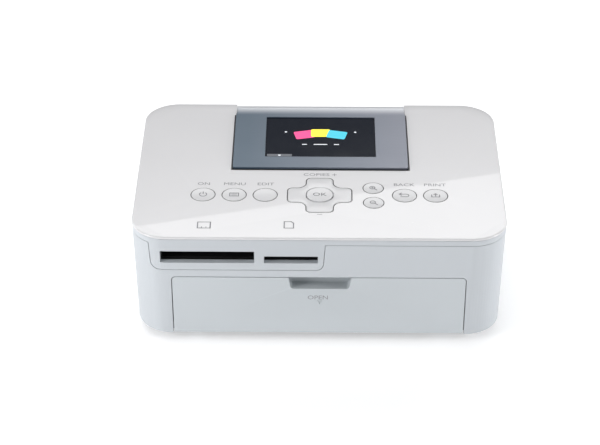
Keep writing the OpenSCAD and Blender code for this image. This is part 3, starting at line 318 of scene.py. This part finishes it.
def boardMaterial():  # solder mask over copper tracks
    material, tree, shader = newMaterial("boardGreen")
    place = tree.nodes.new("ShaderNodeTexCoord").outputs["Object"]
    track = tree.nodes.new("ShaderNodeTexBrick")
    track.inputs["Scale"].default_value = 260
    track.inputs["Color1"].default_value = (0.006, 0.085, 0.030, 1)
    track.inputs["Color2"].default_value = (0.010, 0.110, 0.042, 1)
    track.inputs["Mortar"].default_value = (0.030, 0.190, 0.080, 1)
    track.inputs["Mortar Size"].default_value = 0.03
    tree.links.new(place, track.inputs["Vector"])
    wire(tree, track, "Color", shader, "Base Color")
    bumpInto(tree, shader, track.outputs["Fac"], 0.03)
    setSockets(shader, Roughness=0.32, Coat_Weight=0.3)
    return material


def filmMaterial():  # wound dye film: dark bands with a slight gloss
    material, tree, shader = newMaterial("woundFilm")
    place = tree.nodes.new("ShaderNodeTexCoord").outputs["Object"]
    wave = tree.nodes.new("ShaderNodeTexWave")
    wave.bands_direction = "X"
    wave.inputs["Scale"].default_value = 9
    wave.inputs["Distortion"].default_value = 0.4
    tree.links.new(place, wave.inputs["Vector"])
    ramp = tree.nodes.new("ShaderNodeValToRGB")
    ramp.color_ramp.elements[0].color = (0.020, 0.018, 0.030, 1)
    ramp.color_ramp.elements[1].color = (0.055, 0.035, 0.060, 1)
    wire(tree, wave, "Fac", ramp, "Fac")
    wire(tree, ramp, "Color", shader, "Base Color")
    bumpInto(tree, shader, wave.outputs["Fac"], 0.02)
    setSockets(shader, Roughness=0.25)
    return material


materials = {name: plasticMaterial(name) for name in plastics}
materials.update({name: metalMaterial(name) for name in metals})
materials["bezelLacquerAndPaintedLight"] = bezelMaterial()
materials["displayWindow"] = glassMaterial()
materials["boardGreen"] = boardMaterial()
materials["woundFilm"] = filmMaterial()
materials["greyPrint"] = printMaterial("greyPrint", (0.27, 0.27, 0.29))
materials["darkPrint"] = printMaterial("darkPrint", (0.16, 0.165, 0.18))
materials["pictureYellow"] = glowMaterial("pictureYellow", (0.95, 0.86, 0.02), 0.55)
materials["pictureCyan"] = glowMaterial("pictureCyan", (0.02, 0.52, 0.66), 0.55)
materials["pictureMagenta"] = glowMaterial("pictureMagenta", (0.86, 0.04, 0.24), 0.55)
materials["pictureWhite"] = glowMaterial("pictureWhite", (0.85, 0.88, 0.92), 0.45)
materials["pictureGrey"] = glowMaterial("pictureGrey", (0.09, 0.10, 0.12), 0.25)
print("materials made:", len(materials))

nodeFinish = dict(
    top_cover="topGloss", upper_case="caseSatinPaintedShade", lower_case="caseSatinPaintedShade", base_plate="baseGrey",
    paper_door="doorSatinPaintedShade", ink_door="doorSatinPaintedShade", paper_door_pins="groundSteel", ink_door_pins="groundSteel",
    lcd_bezel="bezelLacquerAndPaintedLight", lcd_back_shell="shellDark", lcd_screen="displayWindow",
    lcd_hinge_pins="groundSteel",
    dpad="keySatin", dpad_carrier="innerGrey", keypad_membrane="membraneBlue", control_board="boardGreen",
    key_switches="blackMoulded", main_board="boardGreen", board_components="blackMoulded",
    cf_card_socket="blackMoulded", sd_card_socket="blackMoulded", dc_jack="blackMoulded",
    usb_socket="sheetSteel",
    lcd_flex_cable="ceramicBar", chassis_left_plate="sheetSteel", chassis_right_plate="sheetSteel",
    chassis_tie_plate="sheetSteel", platen_roller="rollerRubber", platen_gear="gearIvory",
    capstan_roller="groundSteel", capstan_gear="gearIvory", pinch_roller="rollerRubber",
    pickup_roller="rollerRubber", idler_gear="gearIvory", idler_pin="groundSteel", feed_motor="motorCan",
    feed_motor_pinion="brassPinion", gear_bracket="sheetSteel", head_arm="sheetSteel",
    thermal_head="ceramicBar",
    heat_sink="sinkAluminium", head_pivot_shaft="groundSteel", ribbon_gear="gearIvory", ribbon_motor="motorCan",
    ribbon_motor_pinion="brassPinion", ink_cassette_shell="cassetteGrey", supply_spool="woundFilm",
    takeup_spool="woundFilm", fan_frame="blackMoulded", fan_rotor="blackMoulded", case_screws="groundSteel",
    rubber_feet="softRubber",
)
for nodeName, finish in nodeFinish.items():
    cadMesh = cadNodes[nodeName].data
    cadMesh.materials.clear()
    cadMesh.materials.append(materials[finish])
print("CAD nodes finished:", len(nodeFinish))


def placed(name, mesh, finish, body, smoothAngle=32):
    piece = bpy.data.objects.new(name, mesh)
    scene.collection.objects.link(piece)
    mesh.materials.clear()
    mesh.materials.append(materials[finish])
    mesh.shade_smooth()
    mesh.set_sharp_from_angle(angle=math.radians(smoothAngle))
    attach(piece, body)
    return piece


def fromBmesh(name, bm, finish, body, smoothAngle=32):
    bmesh.ops.recalc_face_normals(bm, faces=bm.faces)
    mesh = bpy.data.meshes.new(name)
    bm.to_mesh(mesh)
    bm.free()
    return placed(name, mesh, finish, body, smoothAngle)


def spun(name, profile, middle, finish, body, steps=64):
    bm = bmesh.new()  # profile: radius and height in mm, turned about the vertical through middle
    points = [bm.verts.new(Vector(middle) + Vector((r * mm, 0, h * mm))) for r, h in profile]
    edges = [bm.edges.new(pair) for pair in zip(points, points[1:])]
    bmesh.ops.spin(bm, geom=points + edges, cent=middle, axis=upward, angle=2 * math.pi, steps=steps,
                   use_merge=True)
    bmesh.ops.remove_doubles(bm, verts=bm.verts, dist=1e-7)
    bmesh.ops.holes_fill(bm, edges=[e for e in bm.edges if e.is_boundary], sides=steps + 2)
    return fromBmesh(name, bm, finish, body)


def nodeMiddle(node):
    low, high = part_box(node)
    return (low + high) / 2


def ring(bm, middle, outer, inner, thick, steps=48, start=0.0, sweep=2 * math.pi):
    spot = Vector(middle)  # a flat ring or an arc of one, lying in XY
    corners = ((inner, 0), (outer, 0), (outer, thick), (inner, thick))
    first = Matrix.Rotation(start, 3, "Z")
    points = [bm.verts.new(spot + first @ Vector((r, 0, h))) for r, h in corners]
    face = bm.faces.new(points)
    full = sweep > 6.28
    made = bmesh.ops.spin(bm, geom=[face] + list(face.edges) + points, cent=spot, axis=upward, angle=sweep,
                          steps=steps, use_merge=full)
    if full:
        bmesh.ops.delete(bm, geom=[f for f in (face, *made["geom_last"]) if isinstance(f, bmesh.types.BMFace)
                                   and f.is_valid], context="FACES_ONLY")


def stroke(bm, start, end, width, thick):
    a, b = Vector(start), Vector(end)  # a straight printed line lying in XY
    along = b - a
    corners = bmesh.ops.create_cube(bm, size=1.0)["verts"]
    bmesh.ops.scale(bm, vec=(along.length + width, width, thick), verts=corners)
    turn = Matrix.Rotation(math.atan2(along.y, along.x), 3, "Z")
    bmesh.ops.rotate(bm, matrix=turn, verts=corners, cent=(0, 0, 0))
    bmesh.ops.translate(bm, vec=(a + b) / 2 + Vector((0, 0, thick / 2)), verts=corners)


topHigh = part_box("top_cover")[1].z
keys = dict(edgeRound=0.28, dish=0.08, dishShares=(0.86, 0.72), flange=0.8, okFlange=1.1, flangeHigh=0.65,
            iconLine=0.45, inkThickness=0.03, arcSteps=6)
# painted shadow: a near-black ring just under the top face fills the gap round each key, in the feet's soft
# rubber material
keyGapShadow = dict(clear=0.06, reach=0.35, drop=0.03, high=0.5, steps=64)
keyBodies = dict(power_button="power_key", menu_button="menu_key", edit_button="edit_key",
                 zoom_in_button="zoom_in_key", zoom_out_button="zoom_out_key", back_button="back_key",
                 print_button="print_key", ok_button="ok_key")


def keyProfile(radius, bottom, top, flangeRadius, flangeTop):
    r, dish, steps = keys["edgeRound"], keys["dish"], keys["arcSteps"]
    profile = [(0, bottom), (flangeRadius, bottom), (flangeRadius, flangeTop), (radius, flangeTop)]
    for i in range(steps + 1):
        angle = math.radians(90 * i / steps)
        profile.append((radius - r + r * math.cos(angle), top - r + r * math.sin(angle)))
    outerShare, innerShare = keys["dishShares"]
    profile += [(radius * outerShare, top - dish * 0.5), (radius * innerShare, top - dish), (0, top - dish)]
    return profile


def makeKey(node):
    low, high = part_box(node)
    middle = (low + high) / 2
    flangeRadius = (high.x - low.x) / 2 / mm
    capRadius = flangeRadius - keys["okFlange" if node == "ok_button" else "flange"]
    bottom = low.z / mm
    profile = keyProfile(capRadius, bottom, high.z / mm, flangeRadius, bottom + keys["flangeHigh"])
    piece = spun(node + "_cap", profile, (middle.x, middle.y, 0), "keySatin", keyBodies[node])
    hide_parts(node)
    if node != "ok_button":
        # painted shadow ring in the gap round this key
        bm = bmesh.new()
        shadowLow = Vector((middle.x, middle.y, topHigh - (keyGapShadow["drop"] + keyGapShadow["high"]) * mm))
        outer, inner = (capRadius + keyGapShadow["reach"]) * mm, (capRadius + keyGapShadow["clear"]) * mm
        ring(bm, shadowLow, outer, inner, keyGapShadow["high"] * mm, keyGapShadow["steps"])
        fromBmesh(node + "_gap_shadow", bm, "softRubber", "printer")
    return Vector((middle.x, middle.y, high.z))  # the middle of the key's top


keySpots = {node: makeKey(node) for node in keyBodies}

# the clear and high sizes here are for the painted shadow ring round the four-way key
fourWayKey = dict(edgeRound=0.4, flange=0.7, flangeHigh=0.6, hole=6.75, recess=8.15, recessHigh=1.4,
                  shadowClear=0.2, shadowHigh=0.2)


def topOutline(node):  # the outer edge of a node's top face, as points in order
    bm = bmesh.new()
    bm.from_mesh(cadNodes[node].data)
    bm.transform(cadNodes[node].matrix_world)
    bmesh.ops.remove_doubles(bm, verts=bm.verts, dist=1e-6)
    high = max(v.co.z for v in bm.verts)
    lower = [f for f in bm.faces if min(v.co.z for v in f.verts) < high - 1e-5]
    bmesh.ops.delete(bm, geom=lower, context="FACES")
    centre = nodeMiddle(node)
    rim = [e for e in bm.edges if e.is_boundary]
    start = max((v for e in rim for v in e.verts), key=lambda v: (v.co - centre).xy.length)
    points, last, here = [], None, start
    while here is not start or last is None:
        points.append(here.co.copy())
        edge = next(e for e in here.link_edges if e.is_boundary and e is not last)
        last, here = edge, edge.other_vert(here)
    bm.free()
    area = sum(a.x * b.y - b.x * a.y for a, b in zip(points, points[1:] + points[:1]))
    return points if area > 0 else points[::-1]


def grown(points, distance):
    moved = []
    for before, here, after in zip(points[-1:] + points[:-1], points, points[1:] + points[:1]):
        along = ((here - before).normalized() + (after - here).normalized()).normalized()
        moved.append(here + Vector((along.y, -along.x, 0)) * distance)
    return moved


def loopAt(bm, points, height):
    return [bm.verts.new((point.x, point.y, height)) for point in points]


def wall(bm, first, second):
    for i in range(len(first)):
        j = (i + 1) % len(first)
        bm.faces.new((first[i], first[j], second[j], second[i]))


def towards(points, centre, radius):
    return [centre + (point - centre).xy.normalized().to_3d() * radius for point in points]


def makeFourWay():
    low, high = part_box("dpad")
    middle = (low + high) / 2
    outline = topOutline("dpad")
    k = fourWayKey
    r = k["edgeRound"] * mm
    arc = [math.radians(angle) for angle in range(0, 91, 15)]
    flange, flangeTop = k["flange"] * mm, low.z + k["flangeHigh"] * mm
    recess, recessTop, hole = k["recess"] * mm, low.z + k["recessHigh"] * mm, k["hole"] * mm
    outer = [(flange, low.z), (flange, flangeTop), (0, flangeTop)]
    outer += [(r * (math.cos(a) - 1), high.z - r + r * math.sin(a)) for a in arc]
    inner = [(recess, low.z), (recess, recessTop), (hole, recessTop)]
    inner += [(hole + r * (1 - math.cos(a)), high.z - r + r * math.sin(a)) for a in arc]
    bm = bmesh.new()
    outerLoops = [loopAt(bm, grown(outline, grow), height) for grow, height in outer]
    innerLoops = [loopAt(bm, towards(outline, middle, radius), height) for radius, height in inner]
    for loops in (outerLoops, innerLoops):
        for first, second in zip(loops, loops[1:]):
            wall(bm, first, second)
    for end in (0, -1):
        wall(bm, outerLoops[end], innerLoops[end])
    piece = fromBmesh("four_way_cap", bm, "keySatin", "four_way_key")
    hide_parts("dpad")
    # painted shadow ring in the gap round the four-way key
    bm = bmesh.new()
    shadowTop = topHigh - keyGapShadow["drop"] * mm
    shadowLow = shadowTop - k["shadowHigh"] * mm
    near, far = k["shadowClear"] * mm, keyGapShadow["reach"] * mm
    levels = ((near, shadowLow), (near, shadowTop), (far, shadowTop), (far, shadowLow))
    loops = [loopAt(bm, grown(outline, grow), height) for grow, height in levels]
    for first, second in zip(loops, loops[1:] + loops[:1]):
        wall(bm, first, second)
    fromBmesh("four_way_gap_shadow", bm, "softRubber", "printer")


makeFourWay()


def inkPiece(name, bm, body, finish="greyPrint"):
    return fromBmesh(name, bm, finish, body, smoothAngle=10)


def powerIcon(bm, spot, line, thick):
    radius = 1.95 * mm
    ring(bm, spot, radius, radius - line, thick, 32, math.radians(125), math.radians(290))
    stroke(bm, spot + Vector((0, 0.6 * mm, 0)), spot + Vector((0, 2.3 * mm, 0)), line, thick)


def menuIcon(bm, spot, line, thick):
    w, h = 2.1 * mm, 1.4 * mm
    corners = [spot + Vector((x * w, y * h, 0)) for x, y in ((-1, -1), (1, -1), (1, 1), (-1, 1))]
    for a, b in zip(corners, corners[1:] + corners[:1]):
        stroke(bm, a, b, line, thick)
    for y in (-0.4, 0.4):
        stroke(bm, spot + Vector((-1.2 * mm, y * h, 0)), spot + Vector((1.2 * mm, y * h, 0)), line * 0.8, thick)


def glassIcon(sign):
    def draw(bm, spot, line, thick):
        lens = spot + Vector((-0.4, 0.35, 0)) * mm
        radius = 1.45 * mm
        ring(bm, lens, radius, radius - line, thick, 32)
        stroke(bm, lens + Vector((1.1, -1.1, 0)) * mm, lens + Vector((2.1, -2.1, 0)) * mm, line * 1.2, thick)
        stroke(bm, lens + Vector((-0.6, 0, 0)) * mm, lens + Vector((0.6, 0, 0)) * mm, line * 0.8, thick)
        if sign > 0:
            stroke(bm, lens + Vector((0, -0.6, 0)) * mm, lens + Vector((0, 0.6, 0)) * mm, line * 0.8, thick)
    return draw


def backIcon(bm, spot, line, thick):
    tip, bend = spot + Vector((-2.5, 1.15, 0)) * mm, spot + Vector((0.9, 0, 0)) * mm
    stroke(bm, tip, bend + Vector((0, 1.15, 0)) * mm, line, thick)
    radius = 1.15 * mm
    ring(bm, bend, radius + line / 2, radius - line / 2, thick, 20, math.radians(-90), math.pi)
    stroke(bm, bend - Vector((0, 1.15, 0)) * mm, spot + Vector((-1.8, -1.15, 0)) * mm, line, thick)
    for dy in (-1.0, 1.0):
        stroke(bm, tip, tip + Vector((1.05, dy, 0)) * mm, line, thick)


def printIcon(bm, spot, line, thick):
    for x in (-1.9, 1.9):
        stroke(bm, spot + Vector((x, -1.2, 0)) * mm, spot + Vector((x, 0.7, 0)) * mm, line, thick)
    stroke(bm, spot + Vector((-1.9, -1.2, 0)) * mm, spot + Vector((1.9, -1.2, 0)) * mm, line, thick)
    stroke(bm, spot + Vector((0, -0.5, 0)) * mm, spot + Vector((0, 1.6, 0)) * mm, line, thick)
    for x in (-0.8, 0.8):
        stroke(bm, spot + Vector((0, 1.7, 0)) * mm, spot + Vector((x, 0.9, 0)) * mm, line, thick)


icons = dict(power_button=powerIcon, menu_button=menuIcon, zoom_in_button=glassIcon(1),
             zoom_out_button=glassIcon(-1), back_button=backIcon, print_button=printIcon)
for node, draw in icons.items():
    bm = bmesh.new()
    dishFloor = keySpots[node] - Vector((0, 0, keys["dish"] * mm))
    draw(bm, dishFloor, keys["iconLine"] * mm, keys["inkThickness"] * mm)
    inkPiece(node + "_icon", bm, keyBodies[node])
print("keys made:", len(keySpots))

words = dict(size=3.4, stretch=1.17, thick=0.02, sink=0.004, rowY=-15.6, copiesY=-6.6, copiesShift=-1.6)
copySigns = dict(line=0.34, plusShift=7.2, plusHalf=0.95, minusY=-42.6, minusHalf=1.1)
okWord = dict(size=3.9, stretch=1.2, proud=0.012)
openWord = dict(x=-0.4, z=25.6, sink=0.005, size=3.2, stretch=1.2)
fourWay = nodeMiddle("dpad")


def word(name, text, spot, size, body, finish="greyPrint", stretch=words["stretch"], upright=False):
    curve = bpy.data.curves.new(name, "FONT")
    curve.body = text
    curve.size = size * mm
    curve.align_x = "CENTER"
    curve.align_y = "CENTER"
    curve.extrude = words["thick"] * mm / 2
    curve.resolution_u = 3
    lettering = bpy.data.objects.new(name + "_curve", curve)
    scene.collection.objects.link(lettering)
    bpy.context.view_layer.update()
    graph = bpy.context.evaluated_depsgraph_get()
    mesh = bpy.data.meshes.new_from_object(lettering.evaluated_get(graph))
    bpy.data.objects.remove(lettering)
    turn = Matrix.Rotation(math.radians(90), 4, "X") if upright else Matrix.Identity(4)
    mesh.transform(Matrix.Translation(spot) @ turn @ Matrix.Diagonal((stretch, 1, 1, 1)))
    mesh.name = name
    return placed(name, mesh, finish, body, smoothAngle=10)


onTop = topHigh + words["thick"] * mm / 2 - words["sink"] * mm
rowWords = (("power_button", "ON"), ("menu_button", "MENU"), ("edit_button", "EDIT"),
            ("back_button", "BACK"), ("print_button", "PRINT"))
for node, text in rowWords:
    place = Vector((keySpots[node].x, words["rowY"] * mm, onTop))
    word(text.lower() + "_word", text, place, words["size"], "printer")
copiesPlace = Vector((fourWay.x + words["copiesShift"] * mm, words["copiesY"] * mm, onTop))
word("copies_word", "COPIES", copiesPlace, words["size"], "printer")
okPlace = keySpots["ok_button"] - Vector((0, 0, keys["dish"] * mm - okWord["proud"] * mm))
word("ok_word", "OK", okPlace, okWord["size"], "ok_key", "darkPrint", okWord["stretch"])

signs = bmesh.new()
inkLine, inkThick = copySigns["line"] * mm, words["thick"] * mm
plusSpot = Vector((fourWay.x + copySigns["plusShift"] * mm, words["copiesY"] * mm, topHigh))
minusSpot = Vector((fourWay.x, copySigns["minusY"] * mm, topHigh))
plusHalf, minusHalf = copySigns["plusHalf"] * mm, copySigns["minusHalf"] * mm
for spot, reach in ((plusSpot, (plusHalf, 0, 0)), (plusSpot, (0, plusHalf, 0)), (minusSpot, (minusHalf, 0, 0))):
    stroke(signs, spot - Vector(reach), spot + Vector(reach), inkLine, inkThick)
inkPiece("copies_signs", signs, "printer")

cardSigns = dict(wideSpot=(-54.4, -52.4), wide=(6.0, 5.2), narrowSpot=(-14.3, -51.9), narrow=(4.4, 5.6),
                 notch=1.2, line=0.55, sink=0.002, legs=0.35, legTop=0.55)


def cardSign(name, spot, size, notch):
    bm = bmesh.new()
    w, h = size[0] * mm / 2, size[1] * mm / 2
    centre = Vector((spot[0] * mm, spot[1] * mm, topHigh - cardSigns["sink"] * mm))
    corners = [(-w, -h), (w, -h), (w, h - notch), (w - notch, h), (-w, h)]
    if not notch:
        corners = [(-w, -h), (w, -h), (w, h), (-w, h)]
    spots = [centre + Vector((x, y, 0)) for x, y in corners]
    for a, b in zip(spots, spots[1:] + spots[:1]):
        stroke(bm, a, b, cardSigns["line"] * mm, inkThick)
    if not notch:
        for x in (-cardSigns["legs"] * w, cardSigns["legs"] * w):
            legTop = centre + Vector((x, -h * cardSigns["legTop"], 0))
            stroke(bm, legTop, centre + Vector((x, -h, 0)), inkLine, inkThick)
    return inkPiece(name, bm, "printer")


cardSign("wide_card_sign", cardSigns["wideSpot"], cardSigns["wide"], 0)
cardSign("narrow_card_sign", cardSigns["narrowSpot"], cardSigns["narrow"], cardSigns["notch"] * mm)

slotLining = dict(wide=(-52.7, 44.4, 45.2), narrow=(-13.2, 25.4, 45.2), front=-60.4, deep=6.0, thick=0.12,
                  margin=0.3, lift=0.01, ribs=(6, 4), ribWide=0.7, ribHigh=2.6)


def slotLiner(name, middleX, width, low, ribs):  # a black guide plate with rails on the floor of a card slot
    bm = bmesh.new()
    k = slotLining
    places = [(middleX, width - k["margin"], k["thick"])]
    places += [(middleX + width * ((i + 0.5) / ribs - 0.5), k["ribWide"], k["thick"] * k["ribHigh"])
               for i in range(ribs)]
    for x, wide, high in places:
        corners = bmesh.ops.create_cube(bm, size=1.0)["verts"]
        bmesh.ops.scale(bm, vec=(wide * mm, k["deep"] * mm, high * mm), verts=corners)
        place = Vector((x, k["front"] + k["deep"] / 2, low + high / 2 + k["lift"]))
        bmesh.ops.translate(bm, vec=place * mm, verts=corners)
    return fromBmesh(name, bm, "blackMoulded", "printer")


slotLiner("wide_slot_liner", *slotLining["wide"], slotLining["ribs"][0])
slotLiner("narrow_slot_liner", *slotLining["narrow"], slotLining["ribs"][1])

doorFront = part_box("paper_door")[0].y
openPlace = Vector((openWord["x"] * mm, doorFront - openWord["sink"] * mm, openWord["z"] * mm))
word("open_word", "OPEN", openPlace, openWord["size"], "paper_door", stretch=openWord["stretch"], upright=True)
print("printed words and signs made")

display = dict(lift=0.02, thick=0.012, shiftY=3.0, card=(9.6, 7.4), spread=8.2, fan=13.0, rise=1.6,
               dot=(1.1, 1.1), dotPlace=(17.5, 2.6), lines=(2.56, 6.88, 2.56),
               lineHigh=0.7, lineStep=8.0, lineY=-9.6,
               bar=(12.4, 2.3), barInset=1.6, mark=(1.3, 1.0))
glassLow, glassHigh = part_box("lcd_screen")
glassMiddle = (glassLow + glassHigh) / 2
picture = Vector((glassMiddle.x, glassMiddle.y + display["shiftY"] * mm, glassHigh.z))


def flatCard(name, spot, size, angle, finish, lift, corner=0.9):
    bm = bmesh.new()
    verts = bmesh.ops.create_grid(bm, x_segments=1, y_segments=1, size=0.5)["verts"]
    bmesh.ops.scale(bm, vec=(size[0] * mm, size[1] * mm, 1), verts=verts)
    bmesh.ops.bevel(bm, geom=list(bm.verts), offset=corner * mm, segments=5, profile=0.5, affect="VERTICES",
                    clamp_overlap=True, material=-1)
    base = bm.faces[:]
    raised = bmesh.ops.extrude_face_region(bm, geom=base)
    top = [part for part in raised["geom"] if isinstance(part, bmesh.types.BMVert)]
    bmesh.ops.translate(bm, vec=(0, 0, display["thick"] * mm), verts=top)
    bmesh.ops.rotate(bm, matrix=Matrix.Rotation(math.radians(angle), 3, "Z"), verts=bm.verts, cent=(0, 0, 0))
    bmesh.ops.translate(bm, vec=spot + Vector((0, 0, lift * mm)), verts=bm.verts)
    return fromBmesh(name, bm, finish, "screen", smoothAngle=10)


cardPlaces = ((-1, 0.0, "pictureMagenta"), (0, display["rise"], "pictureYellow"), (1, 0.0, "pictureCyan"))
for index, (side, rise, finish) in enumerate(cardPlaces):
    spot = picture + Vector((side * display["spread"] * mm, rise * mm, 0))
    lift = display["lift"] * (index + 1)
    flatCard(f"picture_card_{index}", spot, display["card"], -side * display["fan"], finish, lift)
for index, side in enumerate((-1, 1)):
    spot = picture + Vector((side * display["dotPlace"][0] * mm, display["dotPlace"][1] * mm, 0))
    flatCard(f"picture_dot_{index}", spot, display["dot"], 45, "pictureWhite", display["lift"], 0.3)
for index, width in enumerate(display["lines"]):
    spot = picture + Vector(((index - 1) * display["lineStep"] * mm, display["lineY"] * mm, 0))
    size = (width, display["lineHigh"])
    flatCard(f"picture_line_{index}", spot, size, 0, "pictureWhite", display["lift"], 0.3)
barSize = display["bar"]
barSpot = Vector((glassLow.x + (barSize[0] / 2 + display["barInset"]) * mm,
                  glassLow.y + (barSize[1] / 2 + display["barInset"]) * mm, glassHigh.z))
flatCard("picture_bar", barSpot, barSize, 0, "pictureGrey", display["lift"], 0.4)
flatCard("picture_mark", barSpot, display["mark"], 0, "pictureWhite", display["lift"] * 2, 0.3)
print("display picture made")

feet = dict(radius=4.5, edge=0.5, hollow=0.4, hollowFrom=1.6, hollowTo=1.3)
footLow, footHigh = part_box("rubber_feet")


def footProfile(radius, high):
    edge = feet["edge"]
    profile = [(0, feet["hollow"]), (radius - feet["hollowFrom"], feet["hollow"]),
               (radius - feet["hollowTo"], 0.0)]
    for i in range(5):
        angle = math.radians(-90 + 90 * i / 4)
        profile.append((radius - edge + edge * math.cos(angle), edge + edge * math.sin(angle)))
    return profile + [(radius, high), (0, high)]


footPieces = []
for index, (sx, sy) in enumerate(((-1, -1), (1, -1), (1, 1), (-1, 1))):
    spotX = (footHigh.x if sx > 0 else footLow.x) - sx * feet["radius"] * mm
    spotY = (footHigh.y if sy > 0 else footLow.y) - sy * feet["radius"] * mm
    profile = footProfile(feet["radius"], footHigh.z / mm)
    foot = spun(f"foot_{index}", profile, (spotX, spotY, 0), "softRubber", "printer", 48)
    footPieces.append(foot)
for piece in footPieces:
    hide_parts("rubber_feet")
print("feet made:", len(footPieces))


lamps = [  # name, place, aimed at, size, power, colour
    ("keyBox", (-0.35, -0.22, 1.35), (0, 0, 0.03), (0.9, 0.9), 3.0, (1.0, 0.985, 0.97)),
    ("leftBox", (-0.60, -0.36, 0.24), (-0.07, -0.03, 0.03), (0.22, 0.36), 2.3, (1.0, 1.0, 1.0)),
    ("rightBox", (0.70, -0.22, 0.20), (0.08, -0.04, 0.03), (0.16, 0.36), 2.1, (1.0, 1.0, 1.0)),
]
glossPanel = dict(lowEdge=(0.0, 1.2, 0.836), size=(2.4, 0.34), tilt=-53.1, turn=8.7, power=11.0)


def areaLamp(name, size, power, colour=(1, 1, 1)):
    data = bpy.data.lights.new(name, "AREA")
    data.shape = "RECTANGLE"
    data.size, data.size_y = size
    data.energy = power
    data.color = colour
    lamp = bpy.data.objects.new(name, data)
    scene.collection.objects.link(lamp)
    return lamp


for name, spot, target, size, power, colour in lamps:
    lamp = areaLamp(name, size, power, colour)
    lamp.location = spot
    lamp.rotation_euler = (Vector(target) - Vector(spot)).to_track_quat("-Z", "Y").to_euler()
panelLamp = areaLamp("glossPanel", glossPanel["size"], glossPanel["power"])  # its low edge draws the gloss line
panelTilt = Matrix.Rotation(math.radians(glossPanel["tilt"]), 4, "X")
panelTurn = Matrix.Rotation(math.radians(glossPanel["turn"]), 4, "Z")
panelDrop = Matrix.Translation((0, -glossPanel["size"][1] / 2, 0))
panelLamp.matrix_world = Matrix.Translation(glossPanel["lowEdge"]) @ (panelTilt @ panelTurn) @ panelDrop

floorLook = dict(colour=(0.93, 0.93, 0.935), glow=0.40, roughness=0.9, reach=6.0)
floorBm = bmesh.new()
bmesh.ops.create_grid(floorBm, x_segments=1, y_segments=1, size=floorLook["reach"])
floorMesh = bpy.data.meshes.new("floor")
floorBm.to_mesh(floorMesh)
floorBm.free()
floor = bpy.data.objects.new("floor", floorMesh)
scene.collection.objects.link(floor)
floorMaterial, _, floorShader = newMaterial("floorPaper")
setSockets(floorShader, Base_Color=(*floorLook["colour"], 1), Roughness=floorLook["roughness"],
           Emission_Color=(*floorLook["colour"], 1), Emission_Strength=floorLook["glow"])
floorMesh.materials.append(floorMaterial)

room = dict(colour=(0.97, 0.985, 1.0), strength=0.25)
world = bpy.data.worlds.new("softRoom")
scene.world = world
world.use_nodes = True
backdrop = world.node_tree.nodes["Background"]
backdrop.inputs["Color"].default_value = (*room["colour"], 1)
backdrop.inputs["Strength"].default_value = room["strength"]
scene.view_settings.view_transform = "Standard"

camera = dict(spot=(-1.0, -889.7, 602.8), down=32.9, turn=0.55, roll=0.03, lens=126.96, near=0.05, far=20)
cameraData = bpy.data.cameras.new("camera")
cameraData.lens = camera["lens"]
cameraData.clip_start = camera["near"]
cameraData.clip_end = camera["far"]
cameraObject = bpy.data.objects.new("camera", cameraData)
scene.collection.objects.link(cameraObject)
turned = Matrix.Rotation(math.radians(camera["turn"]), 4, "Z")
tilted = Matrix.Rotation(math.radians(90 - camera["down"]), 4, "X")
rolled = Matrix.Rotation(math.radians(camera["roll"]), 4, "Z")
cameraObject.matrix_world = Matrix.Translation(Vector(camera["spot"]) * mm) @ turned @ tilted @ rolled
scene.camera = cameraObject
print("floor, light and camera made")
